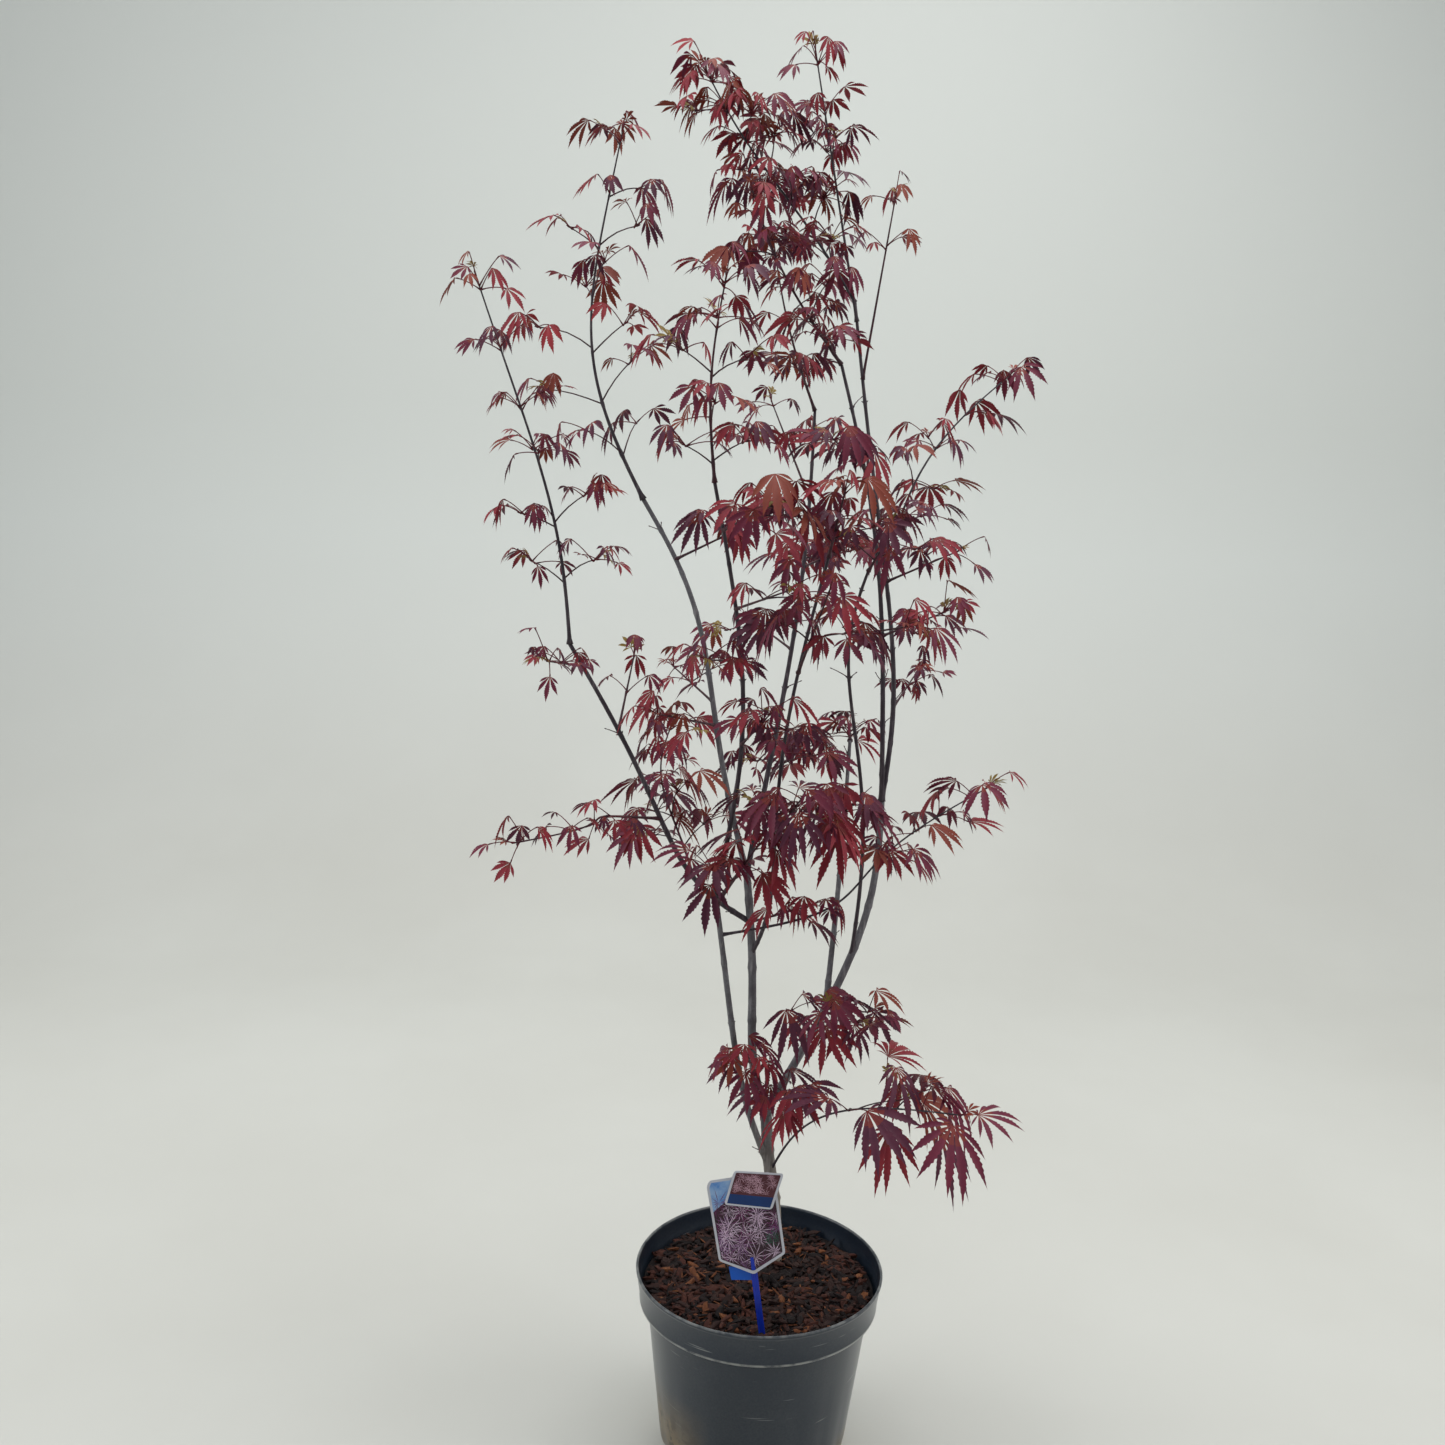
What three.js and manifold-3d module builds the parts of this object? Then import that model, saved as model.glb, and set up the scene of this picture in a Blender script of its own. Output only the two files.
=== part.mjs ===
// A young red-leaved maple with several upright stems, in its round nursery pot.
// Millimetres, +Z up. The origin is the middle of the pot's flat underside.
import * as THREE from 'three';
import Module from 'manifold-3d';
import { mergeVertices } from 'three/addons/utils/BufferGeometryUtils.js';

const wasm = await Module();
wasm.setup();

// Pot: radii and heights of the wall, the foot and the broad collar under the rim
const pot = {
  height: 236,
  rimRadius: 143,
  rimThickness: 2.6,
  collarHeight: 40,
  collarRadius: 138,
  wallTopRadius: 129,
  footHeight: 21,
  footRadius: 107.5,
  baseRadius: 98,
  wallThickness: 2.4,
  floorThickness: 3,
  segments: 32,
};

// Root ball: fills the pot to a hand's breadth under the rim
const compost = { top: 212, clearance: 0.3 };

// Label: a stake pushed in at the front, a shield board on its front and a small card on that
const label = {
  stakeFoot: [3, -107.5, 212.8],
  stakeTop: [-25.7, -80.7, 382.7],
  stakeWidth: 7,
  stakeThickness: 1.6,
  boardWidth: 76,
  boardHeight: 110,
  boardPoint: 24,
  boardThickness: 0.8,
  boardMiddle: [-18.8, -89.2, 335.9],
  boardTurn: 11,
  boardLean: 9,
  cardWidth: 54,
  cardHeight: 39.5,
  cardRise: 38.3,
  cardShift: 13,
  cardTurn: -13.5,
  cardSlant: 0.21,
};

// Gap kept between neighbouring pieces, and round every leaf
const seatGap = 0.3;
const leafGap = 0.6;
const mergeWithin = 0.05;

// Woody limbs. Each leaves its parent at a fraction of the parent's length and reaches
// [right, back, up]; bow and sway bend it sideways, arch lifts or drops its middle.
const limbs = [
  { name: 'trunk', foot: [19, 50, 207], reach: [-18, -20, 211], bow: 3, sway: 2, arch: 0,
    radius: [8.6, 6.6] },
  { name: 'stem_grey', from: 'trunk', at: 0.97, reach: [-35, -21, 296], bow: -4, sway: -4, arch: -31,
    radius: [5.6, 4.2] },
  { name: 'stem_right', from: 'trunk', at: 0.97, reach: [119, 49, 368], bow: 32, sway: -3, arch: 4,
    radius: [5, 3.6] },
  { name: 'stem_left', from: 'trunk', at: 0.62, reach: [-77, -78, 361], bow: -8, sway: -2, arch: -21,
    radius: [4, 3] },
  { name: 'stem_centre', from: 'stem_left', at: 1, reach: [-16, -60, 440], bow: 28, sway: 3, arch: 17,
    radius: [2.8, 1.8] },
  { name: 'bough_left', from: 'stem_grey', at: 0.85, reach: [-205, -43, 314], bow: 6, sway: -9, arch: -51,
    radius: [3.2, 2.2] },
  { name: 'bough_mid', from: 'stem_grey', at: 1, reach: [-130, 50, 407], bow: 14, sway: -8, arch: 18,
    radius: [3.4, 2.4] },
  { name: 'bough_back', from: 'stem_grey', at: 1, reach: [59, 140, 512], bow: 14, sway: -1, arch: 4,
    radius: [3.2, 1.7] },
  { name: 'bough_front', from: 'stem_grey', at: 0.75, reach: [55, -135, 460], bow: -10, sway: 9, arch: -70,
    radius: [2.5, 1.6] },
  { name: 'bough_inner', from: 'stem_right', at: 0.33, reach: [19, 83, 303], bow: 2, sway: 0, arch: -3,
    radius: [3.6, 2] },
  { name: 'bough_outer', from: 'stem_right', at: 1, reach: [-57, 50, 560], bow: 25, sway: 5, arch: -46,
    radius: [3.2, 1.7] },
  { name: 'bough_near', from: 'stem_right', at: 1, reach: [-75, -40, 486], bow: 20, sway: -2, arch: -1,
    radius: [3, 1.7] },
  { name: 'bough_thin', from: 'stem_right', at: 0.5, reach: [-19, -145, 457], bow: -7, sway: 12, arch: 48,
    radius: [2.3, 1.5] },
];
const flare = { height: 26, spread: 3.4 };

// Masses of foliage. Each has one stem, which leaves its limb as the limbs do, with pairs
// of side twigs at its nodes: the first node's place, the twigs' spread, the leaf's length.
const masses = [
  { name: 'left_top', from: 'bough_left', at: 1, reach: [-98, -30, 372], bow: 16, sway: 3,
    nodes: 6, first: 0.18, spread: 50, leaf: 47 },
  { name: 'left_elbow', from: 'bough_left', at: 0.95, reach: [-28, -82, 16],
    nodes: 2, first: 0.6, spread: 22, leaf: 38 },
  { name: 'left_rise', from: 'bough_left', at: 0.8, reach: [11, 61, 74],
    nodes: 2, first: 0.5, spread: 28, leaf: 43 },
  { name: 'left_low', from: 'bough_left', at: 0.55, reach: [-146, -109, -4], bow: 8, sway: -20, arch: 12,
    nodes: 4, first: 0.3, spread: 26, leaf: 48 },
  { name: 'left_core', from: 'bough_left', at: 0.3, reach: [-32, 90, 159], bow: -20, sway: 5,
    nodes: 5, first: 0.2, spread: 44, leaf: 60 },
  { name: 'mid_top', from: 'bough_mid', at: 1, reach: [-36, 50, 396], bow: -46, sway: -6,
    nodes: 7, first: 0.12, spread: 70, leaf: 53 },
  { name: 'mid_inner', from: 'bough_mid', at: 0.82, reach: [88, -41, 48],
    nodes: 2, first: 0.55, spread: 36, leaf: 56 },
  { name: 'mid_fork', from: 'bough_mid', at: 0.42, reach: [-50, 116, 22],
    nodes: 2, first: 0.55, spread: 36, leaf: 43 },
  { name: 'mid_low', from: 'bough_mid', at: 0.36, reach: [-64, -52, 20],
    nodes: 2, first: 0.35, spread: 42, leaf: 50 },
  { name: 'centre_top', from: 'stem_centre', at: 1, reach: [4, -20, 194], bow: -9,
    nodes: 5, first: 0.1, spread: 50, leaf: 50 },
  { name: 'centre_mid', from: 'stem_centre', at: 0.88, reach: [47, -98, 30],
    nodes: 2, first: 0.55, spread: 40, leaf: 57 },
  { name: 'centre_front', from: 'stem_centre', at: 0.68, reach: [49, -110, 31],
    nodes: 2, first: 0.55, spread: 36, leaf: 52 },
  { name: 'centre_left', from: 'stem_centre', at: 0.55, reach: [-36, -97, 14],
    nodes: 2, first: 0.45, spread: 36, leaf: 47 },
  { name: 'centre_low', from: 'stem_centre', at: 0.35, reach: [26, -99, 52],
    nodes: 3, first: 0.45, spread: 36, leaf: 47 },
  { name: 'centre_base', from: 'stem_left', at: 0.97, reach: [40, -72, 86],
    nodes: 3, first: 0.4, spread: 38, leaf: 60 },
  { name: 'trunk_left', from: 'stem_grey', at: 0.23, reach: [-14, -86, 66],
    nodes: 3, first: 0.55, spread: 26, leaf: 50 },
  { name: 'trunk_front', from: 'stem_grey', at: 0.07, reach: [29, -99, 60],
    nodes: 3, first: 0.5, spread: 30, leaf: 50 },
  { name: 'low_right', from: 'trunk', at: 0.6, reach: [190, -168, 160], bow: -37, arch: 35,
    nodes: 5, first: 0.62, spread: 46, leaf: 74 },
  { name: 'fork_front', from: 'stem_right', at: 0.25, reach: [12, -83, 66],
    nodes: 3, first: 0.4, spread: 42, leaf: 59 },
  { name: 'fork_right', from: 'stem_right', at: 0.33, reach: [46, -37, 12],
    nodes: 2, first: 0.55, spread: 26, leaf: 52 },
  { name: 'grey_right', from: 'stem_grey', at: 0.85, reach: [64, -73, 46],
    nodes: 3, first: 0.4, spread: 30, leaf: 47 },
  { name: 'back_top', from: 'bough_back', at: 1, reach: [-54, 0, 176], bow: -6,
    nodes: 3, first: 0.15, spread: 44, leaf: 52 },
  { name: 'back_high', from: 'bough_back', at: 0.8, reach: [-46, 100, 112],
    nodes: 2, first: 0.55, spread: 42, leaf: 52 },
  { name: 'back_mid', from: 'bough_back', at: 0.65, reach: [63, 129, 19],
    nodes: 3, first: 0.35, spread: 40, leaf: 52 },
  { name: 'back_low', from: 'bough_back', at: 0.47, reach: [-51, 154, 20],
    nodes: 2, first: 0.55, spread: 42, leaf: 47 },
  { name: 'back_base', from: 'bough_back', at: 0.2, reach: [50, 148, 10],
    nodes: 3, first: 0.35, spread: 42, leaf: 54 },
  { name: 'front_top', from: 'bough_front', at: 1, reach: [9, -50, 66],
    nodes: 3, first: 0.25, spread: 40, leaf: 52 },
  { name: 'front_mid', from: 'bough_front', at: 0.82, reach: [21, -104, 96],
    nodes: 2, first: 0.4, spread: 36, leaf: 56 },
  { name: 'front_low', from: 'bough_front', at: 0.5, reach: [21, -98, 62],
    nodes: 4, first: 0.4, spread: 36, leaf: 54 },
  { name: 'thin_top', from: 'bough_thin', at: 1, reach: [18, -40, 43],
    nodes: 3, first: 0.3, spread: 42, leaf: 52 },
  { name: 'thin_mid', from: 'bough_thin', at: 0.78, reach: [44, -103, 23],
    nodes: 2, first: 0.55, spread: 36, leaf: 50 },
  { name: 'thin_low', from: 'bough_thin', at: 0.35, reach: [-37, -114, 0],
    nodes: 3, first: 0.4, spread: 36, leaf: 58 },
  { name: 'near_top', from: 'bough_near', at: 1, reach: [-103, -20, 172], bow: -14, arch: 3,
    nodes: 6, first: 0.06, spread: 48, leaf: 52 },
  { name: 'near_mid', from: 'bough_near', at: 0.78, reach: [-44, -109, 29],
    nodes: 3, first: 0.35, spread: 38, leaf: 52 },
  { name: 'near_low', from: 'bough_near', at: 0.4, reach: [59, -64, 36],
    nodes: 2, first: 0.55, spread: 30, leaf: 50 },
  { name: 'crown', from: 'bough_outer', at: 1, reach: [-173, -70, 220], bow: -8, sway: 4, arch: 7,
    nodes: 7, first: 0.15, spread: 64, leaf: 51 },
  { name: 'outer_top', from: 'bough_outer', at: 0.97, reach: [-61, -19, 277],
    nodes: 3, first: 0.6, spread: 40, leaf: 41 },
  { name: 'outer_high', from: 'bough_outer', at: 0.88, reach: [28, 26, 202],
    nodes: 2, first: 0.72, spread: 30, leaf: 41 },
  { name: 'wing', from: 'bough_outer', at: 0.55, reach: [140, 72, 228], bow: -25, arch: 12,
    nodes: 5, first: 0.16, spread: 46, leaf: 50 },
  { name: 'outer_mid', from: 'bough_outer', at: 0.53, reach: [74, -36, 40],
    nodes: 2, first: 0.55, spread: 34, leaf: 47 },
  { name: 'outer_low', from: 'bough_outer', at: 0.25, reach: [40, 104, 30],
    nodes: 2, first: 0.55, spread: 30, leaf: 47 },
  { name: 'cross_right', from: 'stem_left', at: 0.88, reach: [284, 20, 172], bow: 5, sway: 23, arch: -27,
    nodes: 5, first: 0.62, spread: 32, leaf: 50 },
  { name: 'inner_top', from: 'bough_inner', at: 1, reach: [3, 40, 8],
    nodes: 3, first: 0.3, spread: 38, leaf: 47 },
];

// How a mass grows. Twigs longer than a stalk carry their own leaves.
const growth = {
  stemRadius: 1.8,
  tipRadius: 1.4,
  twigRadius: 1.4,
  stalk: 27,
  pairGap: 2,
  forward: 0.55,
  pairTurn: 90,
  rootShare: 0.22,
  firstSeed: 11,
  stepLength: 55,
};

// A leaf is a star of narrow lobes: angle from the middle lobe and length as a share
const leafShape = {
  smallLobes: [[-84, 0.58], [-40, 0.9], [0, 1], [40, 0.9], [84, 0.58]],
  largeLobes: [[-104, 0.42], [-64, 0.78], [-30, 0.96], [0, 1], [30, 0.96], [64, 0.78], [104, 0.42]],
  largeFrom: 62,
  notch: 0.22,
  thickness: 0.04,
  stalkHalfWidth: 0.85,
  rootScale: 0.6,
  lobeDroop: 0.2,
};

const up = new THREE.Vector3(0, 0, 1);

// Chance that repeats: the same seed gives the same draws
function draws(seed) {
  let state = seed >>> 0;
  return (low, high) => {
    state = (Math.imul(state, 1664525) + 1013904223) >>> 0;
    return low + (high - low) * (state / 4294967296);
  };
}

function solidFrom(points, faces) {
  const vertProperties = new Float32Array(points.flatMap((p) => [p.x, p.y, p.z]));
  const triVerts = new Uint32Array(faces.flat());
  return new wasm.Manifold(new wasm.Mesh({ numProp: 3, vertProperties, triVerts }));
}

function solidFromGeometry(geometry) {
  const plain = geometry.clone();
  plain.deleteAttribute('normal');
  plain.deleteAttribute('uv');
  const merged = mergeVertices(plain, 1e-4);
  const vertProperties = new Float32Array(merged.attributes.position.array);
  const triVerts = new Uint32Array(merged.index.array);
  return new wasm.Manifold(new wasm.Mesh({ numProp: 3, vertProperties, triVerts }));
}

function geometryFrom(solid) {
  const mesh = solid.getMesh();
  const geometry = new THREE.BufferGeometry();
  geometry.setAttribute('position', new THREE.BufferAttribute(mesh.vertProperties, 3));
  geometry.setIndex(new THREE.BufferAttribute(mesh.triVerts, 1));
  geometry.computeVertexNormals();
  return geometry;
}

// The largest body of a solid, without the loose scraps and tiny edges a cut or join leaves
function largestBody(solid) {
  const bodies = solid.asOriginal().simplify(mergeWithin).decompose();
  bodies.sort((a, b) => b.volume() - a.volume());
  return bodies[0];
}

// Centre line of a limb or of a mass's stem
const lines = new Map();

function lineOf(row) {
  const foot = row.from ? lines.get(row.from).pointAt(row.at) : new THREE.Vector3(...row.foot);
  const { bow = 0, sway = 0, arch = 0 } = row;
  const pointAt = (t) => new THREE.Vector3(
    foot.x + row.reach[0] * t + bow * Math.sin(Math.PI * t) + sway * Math.sin(2 * Math.PI * t),
    foot.y + row.reach[1] * t,
    foot.z + row.reach[2] * t + arch * Math.sin(Math.PI * t),
  );
  const step = 0.01;
  const headingAt = (t) => pointAt(t + step).sub(pointAt(t - step)).normalize();
  return { pointAt, headingAt };
}

// A tube runs straight from step to step, so what is rooted in it is placed on those chords
function stepsOf(line) {
  const length = line.pointAt(0).distanceTo(line.pointAt(1));
  return Math.max(3, Math.round(length / growth.stepLength));
}

function chordPoint(line, t) {
  const steps = stepsOf(line);
  const i = Math.min(steps - 1, Math.floor(t * steps));
  return line.pointAt(i / steps).lerp(line.pointAt((i + 1) / steps), t * steps - i);
}

// Closed tapering tube round a line, grown on all sides by a margin
function tube(line, radiusAt, sides, steps, margin = 0) {
  const points = [];
  const faces = [];
  const chord = line.pointAt(1).sub(line.pointAt(0));
  const upright = Math.abs(chord.z) > Math.abs(chord.y);
  const reference = upright ? new THREE.Vector3(0, 1, 0) : up;
  for (let i = 0; i <= steps; i += 1) {
    const t = i / steps;
    const heading = line.headingAt(t);
    const centre = line.pointAt(t);
    if (i === 0) centre.addScaledVector(heading, -margin);
    if (i === steps) centre.addScaledVector(heading, margin);
    const side = heading.clone().cross(reference).normalize();
    const front = heading.clone().cross(side);
    const radius = radiusAt(t) + margin;
    for (let k = 0; k < sides; k += 1) {
      const angle = (2 * Math.PI * k) / sides;
      const point = centre.clone();
      point.addScaledVector(side, radius * Math.cos(angle));
      point.addScaledVector(front, radius * Math.sin(angle));
      points.push(point);
    }
  }
  for (let i = 0; i < steps; i += 1) {
    for (let k = 0; k < sides; k += 1) {
      const a = i * sides + k;
      const b = i * sides + ((k + 1) % sides);
      faces.push([a, b, b + sides], [a, b + sides, a + sides]);
    }
  }
  const last = steps * sides;
  for (let k = 1; k < sides - 1; k += 1) {
    faces.push([0, k + 1, k], [last, last + k, last + k + 1]);
  }
  return solidFrom(points, faces);
}

function limbTube(limb, margin = 0) {
  const [footRadius, tipRadius] = limb.radius;
  const isTrunk = !limb.from;
  const radiusAt = (t) => {
    const plain = footRadius + (tipRadius - footRadius) * t;
    if (!isTrunk) return plain;
    const rise = Math.max(0, limb.foot[2] + t * limb.reach[2] - compost.top) / flare.height;
    return plain + flare.spread * Math.exp(-3 * rise);
  };
  const sides = isTrunk ? 10 : 6;
  const length = Math.hypot(...limb.reach);
  const steps = Math.max(6, Math.round(length / 65));
  return tube(lines.get(limb.name), radiusAt, sides, steps, margin);
}

// Star-shaped leaf with its stalk. It starts at root, the blade opens at knuckle along
// outward, and across points to its left. The stalk is a three-edged wedge.
function leafSolid(leaf, margin = 0) {
  const { root, knuckle, outward, across, length } = leaf;
  const lobes = length >= leafShape.largeFrom ? leafShape.largeLobes : leafShape.smallLobes;
  const halfWidth = leafShape.stalkHalfWidth + margin;
  const halfThickness = (length * leafShape.thickness) / 2 + margin;
  const stalk = knuckle.clone().sub(root).normalize();
  const ridge = stalk.cross(across).add(outward.clone().cross(across)).normalize();
  const bladePoint = (degrees, reach) => {
    const angle = THREE.MathUtils.degToRad(degrees);
    const point = knuckle.clone();
    point.addScaledVector(outward, reach * Math.cos(angle));
    point.addScaledVector(across, reach * Math.sin(angle));
    point.z -= leafShape.lobeDroop * reach;
    return point;
  };
  const right = knuckle.clone().addScaledVector(across, -halfWidth);
  const left = knuckle.clone().addScaledVector(across, halfWidth);
  const outline = [right];
  lobes.forEach(([degrees, share], i) => {
    outline.push(bladePoint(degrees, length * share + margin));
    if (i < lobes.length - 1) {
      outline.push(bladePoint((degrees + lobes[i + 1][0]) / 2, length * leafShape.notch));
    }
  });
  outline.push(left);
  const top = knuckle.clone().addScaledVector(ridge, halfThickness);
  const bottom = knuckle.clone().addScaledVector(ridge, -halfThickness);
  const atRoot = (point) => root.clone().addScaledVector(point.clone().sub(knuckle), leafShape.rootScale);
  const points = [...outline, top, bottom, atRoot(right), atRoot(left), atRoot(top)];
  const l = outline.length - 1;
  const [t, b, rootRight, rootLeft, rootTop] = [l + 1, l + 2, l + 3, l + 4, l + 5];
  const faces = [[b, 0, l]];
  for (let i = 0; i < l; i += 1) {
    faces.push([t, i, i + 1], [b, i + 1, i]);
  }
  faces.push([t, rootTop, rootRight], [t, rootRight, 0]);
  faces.push([t, l, rootLeft], [t, rootLeft, rootTop]);
  faces.push([0, rootRight, rootLeft], [0, rootLeft, l]);
  faces.push([rootRight, rootTop, rootLeft]);
  return solidFrom(points, faces);
}

// What stands already, piece by piece
const standing = [];

function boxOf(solid) {
  const { min, max } = solid.boundingBox();
  return new THREE.Box3(new THREE.Vector3(...min), new THREE.Vector3(...max));
}

function stand(owner, solid) {
  standing.push({ owner, solid, box: boxOf(solid) });
}

function isClear(solid) {
  const box = boxOf(solid);
  if (box.min.z < compost.top + 4) return false;
  const isMet = (other) => other.box.intersectsBox(box) && !other.solid.intersect(solid).isEmpty();
  return !standing.some(isMet);
}

// A leaf on its stalk, hanging out from a point on a twig. All but its root must be clear.
function hangLeaf(mass, draw, root, heading, size, isHeld = true) {
  const stalkLength = growth.stalk * draw(0.75, 1.25);
  const droop = THREE.MathUtils.degToRad(draw(10, 64));
  const turn = THREE.MathUtils.degToRad(draw(-35, 35));
  const length = size * draw(0.82, 1.12);
  const flat = new THREE.Vector3(heading.x, heading.y, 0);
  if (flat.length() < 0.2) flat.set(1, 0, 0);
  flat.normalize().applyAxisAngle(up, turn);
  const knuckle = root.clone().addScaledVector(heading, stalkLength);
  knuckle.z += stalkLength * 0.12;
  const outward = flat.clone().multiplyScalar(Math.cos(droop)).addScaledVector(up, -Math.sin(droop));
  const across = up.clone().cross(flat).normalize();
  const leaf = { root, knuckle, outward, across, length };
  const free = { ...leaf, root: root.clone().lerp(knuckle, growth.rootShare) };
  if (isHeld && isClear(leafSolid(free, leafGap))) stand(mass.name, leafSolid(leaf));
}

// A side twig with a pair of leaves at its end
function growTwig(mass, draw, root, heading, length) {
  const tip = root.clone().addScaledVector(heading, length);
  tip.z -= length * 0.08;
  const direction = tip.clone().sub(root).normalize();
  const lineFrom = (start) => ({
    pointAt: (t) => start.clone().lerp(tip, t),
    headingAt: () => direction.clone(),
  });
  const radiusAt = () => growth.twigRadius;
  const start = root.clone().lerp(tip, growth.rootShare);
  const fits = isClear(tube(lineFrom(start), radiusAt, 4, 1, leafGap));
  if (fits) stand(mass.name, tube(lineFrom(root), radiusAt, 4, 1));
  const level = new THREE.Vector3(-direction.y, direction.x, 0).normalize();
  for (const side of [-1, 1]) {
    const leafHeading = direction.clone().multiplyScalar(0.7).addScaledVector(level, 0.7 * side);
    leafHeading.z += draw(-0.15, 0.3);
    const leafRoot = tip.clone().addScaledVector(direction, -growth.pairGap * (1.5 + side));
    hangLeaf(mass, draw, leafRoot, leafHeading.normalize(), mass.leaf, fits);
  }
}

// What is added is cut a seat gap clear of every limb and stem that stands
function cutClear(solid) {
  const grown = standing.filter((entry) => entry.grown).map((entry) => entry.grown);
  return largestBody(wasm.Manifold.difference([solid, ...grown]));
}

function standWood(owner, solid, grown) {
  stand(owner, solid);
  standing[standing.length - 1].grown = grown;
}

function growStem(mass) {
  const radiusAt = (t) => growth.stemRadius + (growth.tipRadius - growth.stemRadius) * t;
  const line = lines.get(mass.name);
  const stem = tube(line, radiusAt, 4, stepsOf(line));
  standWood(mass.name, cutClear(stem), tube(line, radiusAt, 4, stepsOf(line), seatGap));
}

function growLeaves(mass, seed) {
  const draw = draws(seed);
  const line = lines.get(mass.name);
  for (let i = 0; i < mass.nodes; i += 1) {
    const share = i / Math.max(1, mass.nodes - 1);
    const place = mass.first + (0.96 - mass.first) * share;
    const root = chordPoint(line, place);
    const along = line.headingAt(place);
    const level = new THREE.Vector3(-along.y, along.x, 0);
    if (level.length() < 0.2) level.set(1, 0, 0);
    level.normalize();
    const turn = THREE.MathUtils.degToRad(growth.pairTurn * i + draw(-25, 25));
    for (const side of [-1, 1]) {
      const heading = level.clone().applyAxisAngle(along, turn).multiplyScalar(side);
      heading.addScaledVector(along, growth.forward);
      heading.z += 0.15;
      heading.normalize();
      const length = mass.spread * (1 - 0.5 * share) * draw(0.75, 1.2);
      const sideRoot = root.clone().addScaledVector(along, growth.pairGap * side);
      if (length > growth.stalk * 1.35) {
        growTwig(mass, draw, sideRoot, heading, length);
      } else {
        hangLeaf(mass, draw, sideRoot, heading, mass.leaf);
      }
    }
  }
  hangLeaf(mass, draw, chordPoint(line, 0.99), line.headingAt(0.98), mass.leaf * 0.7);
}

function massGeometry(mass) {
  const pieces = standing.filter((entry) => entry.owner === mass.name);
  const joined = wasm.Manifold.union(pieces.map((entry) => entry.solid));
  return geometryFrom(largestBody(joined));
}

function potGeometry() {
  const collarFoot = pot.height - pot.collarHeight;
  const wall = pot.wallThickness;
  const profile = [
    [0, 0],
    [pot.baseRadius, 0],
    [pot.footRadius, pot.footHeight],
    [pot.wallTopRadius, collarFoot - 3],
    [pot.collarRadius, collarFoot],
    [pot.rimRadius - 0.8, pot.height - 5],
    [pot.rimRadius, pot.height - 4],
    [pot.rimRadius, pot.height],
    [pot.rimRadius - pot.rimThickness, pot.height],
    [pot.collarRadius - wall, collarFoot + 1],
    [pot.wallTopRadius - wall, collarFoot - 4],
    [pot.footRadius - wall, pot.footHeight + 1],
    [pot.baseRadius - wall, pot.floorThickness],
    [0, pot.floorThickness],
  ];
  return lathe(profile, pot.segments);
}

function compostGeometry() {
  const collarFoot = pot.height - pot.collarHeight;
  const inset = pot.wallThickness + compost.clearance * 1.6;
  const rise = (compost.top - collarFoot) / pot.collarHeight;
  const topRadius = pot.collarRadius + (pot.rimRadius - pot.collarRadius) * rise - inset;
  const profile = [
    [0, pot.floorThickness + compost.clearance],
    [pot.baseRadius - inset, pot.floorThickness + compost.clearance],
    [pot.footRadius - inset, pot.footHeight + 1],
    [pot.wallTopRadius - inset, collarFoot - 4],
    [pot.collarRadius - inset - 0.6, collarFoot + 1.4],
    [topRadius - 0.4, compost.top],
    [0, compost.top],
  ];
  return lathe(profile, pot.segments);
}

function lathe(profile, segments) {
  const points = profile.map(([radius, height]) => new THREE.Vector2(radius, height));
  const geometry = new THREE.LatheGeometry(points, segments);
  geometry.rotateX(Math.PI / 2);
  return geometry;
}

// Flat bar between two points, for the label's stake
function stakeGeometry() {
  const foot = new THREE.Vector3(...label.stakeFoot);
  const top = new THREE.Vector3(...label.stakeTop);
  const length = foot.distanceTo(top);
  const geometry = new THREE.BoxGeometry(label.stakeWidth, label.stakeThickness, length);
  const aim = new THREE.Quaternion().setFromUnitVectors(up, top.clone().sub(foot).normalize());
  geometry.applyQuaternion(aim);
  geometry.translate(...foot.add(top).multiplyScalar(0.5).toArray());
  return geometry;
}

// Shield board with a pointed foot, and the small card that stands out above it
function boardGeometry() {
  const half = label.boardWidth / 2;
  const high = label.boardHeight / 2;
  const board = new THREE.Shape();
  board.moveTo(0, -high);
  board.lineTo(half * 0.94, -high + label.boardPoint * 0.72);
  board.lineTo(half, high - 8);
  board.lineTo(half - 6, high);
  board.lineTo(-half + 6, high);
  board.lineTo(-half, high - 8);
  board.lineTo(-half * 0.94, -high + label.boardPoint * 0.72);
  board.closePath();
  const cardX = label.cardWidth / 2;
  const cardZ = label.cardHeight / 2;
  const card = new THREE.Shape();
  card.moveTo(-cardX + 4, -cardZ);
  card.lineTo(cardX - 4, -cardZ);
  card.quadraticCurveTo(cardX, -cardZ, cardX, -cardZ + 4);
  card.lineTo(cardX, cardZ - 4);
  card.quadraticCurveTo(cardX, cardZ, cardX - 4, cardZ);
  card.lineTo(-cardX + 4, cardZ);
  card.quadraticCurveTo(-cardX, cardZ, -cardX, cardZ - 4);
  card.lineTo(-cardX, -cardZ + 4);
  card.quadraticCurveTo(-cardX, -cardZ, -cardX + 4, -cardZ);
  const flat = { depth: label.boardThickness, bevelEnabled: false, curveSegments: 3 };
  const boardBody = new THREE.ExtrudeGeometry(board, flat);
  const cardBody = new THREE.ExtrudeGeometry(card, flat);
  const slant = new THREE.Matrix4().makeShear(0, 0, label.cardSlant, 0, 0, 0);
  cardBody.applyMatrix4(slant).rotateZ(THREE.MathUtils.degToRad(label.cardTurn));
  cardBody.translate(label.cardShift, label.cardRise, label.boardThickness * 0.9);
  const joined = solidFromGeometry(boardBody).add(solidFromGeometry(cardBody));
  const geometry = geometryFrom(joined);
  geometry.rotateZ(THREE.MathUtils.degToRad(label.boardTurn));
  geometry.rotateX(Math.PI / 2 - THREE.MathUtils.degToRad(label.boardLean));
  geometry.translate(...label.boardMiddle);
  return geometry;
}

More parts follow.
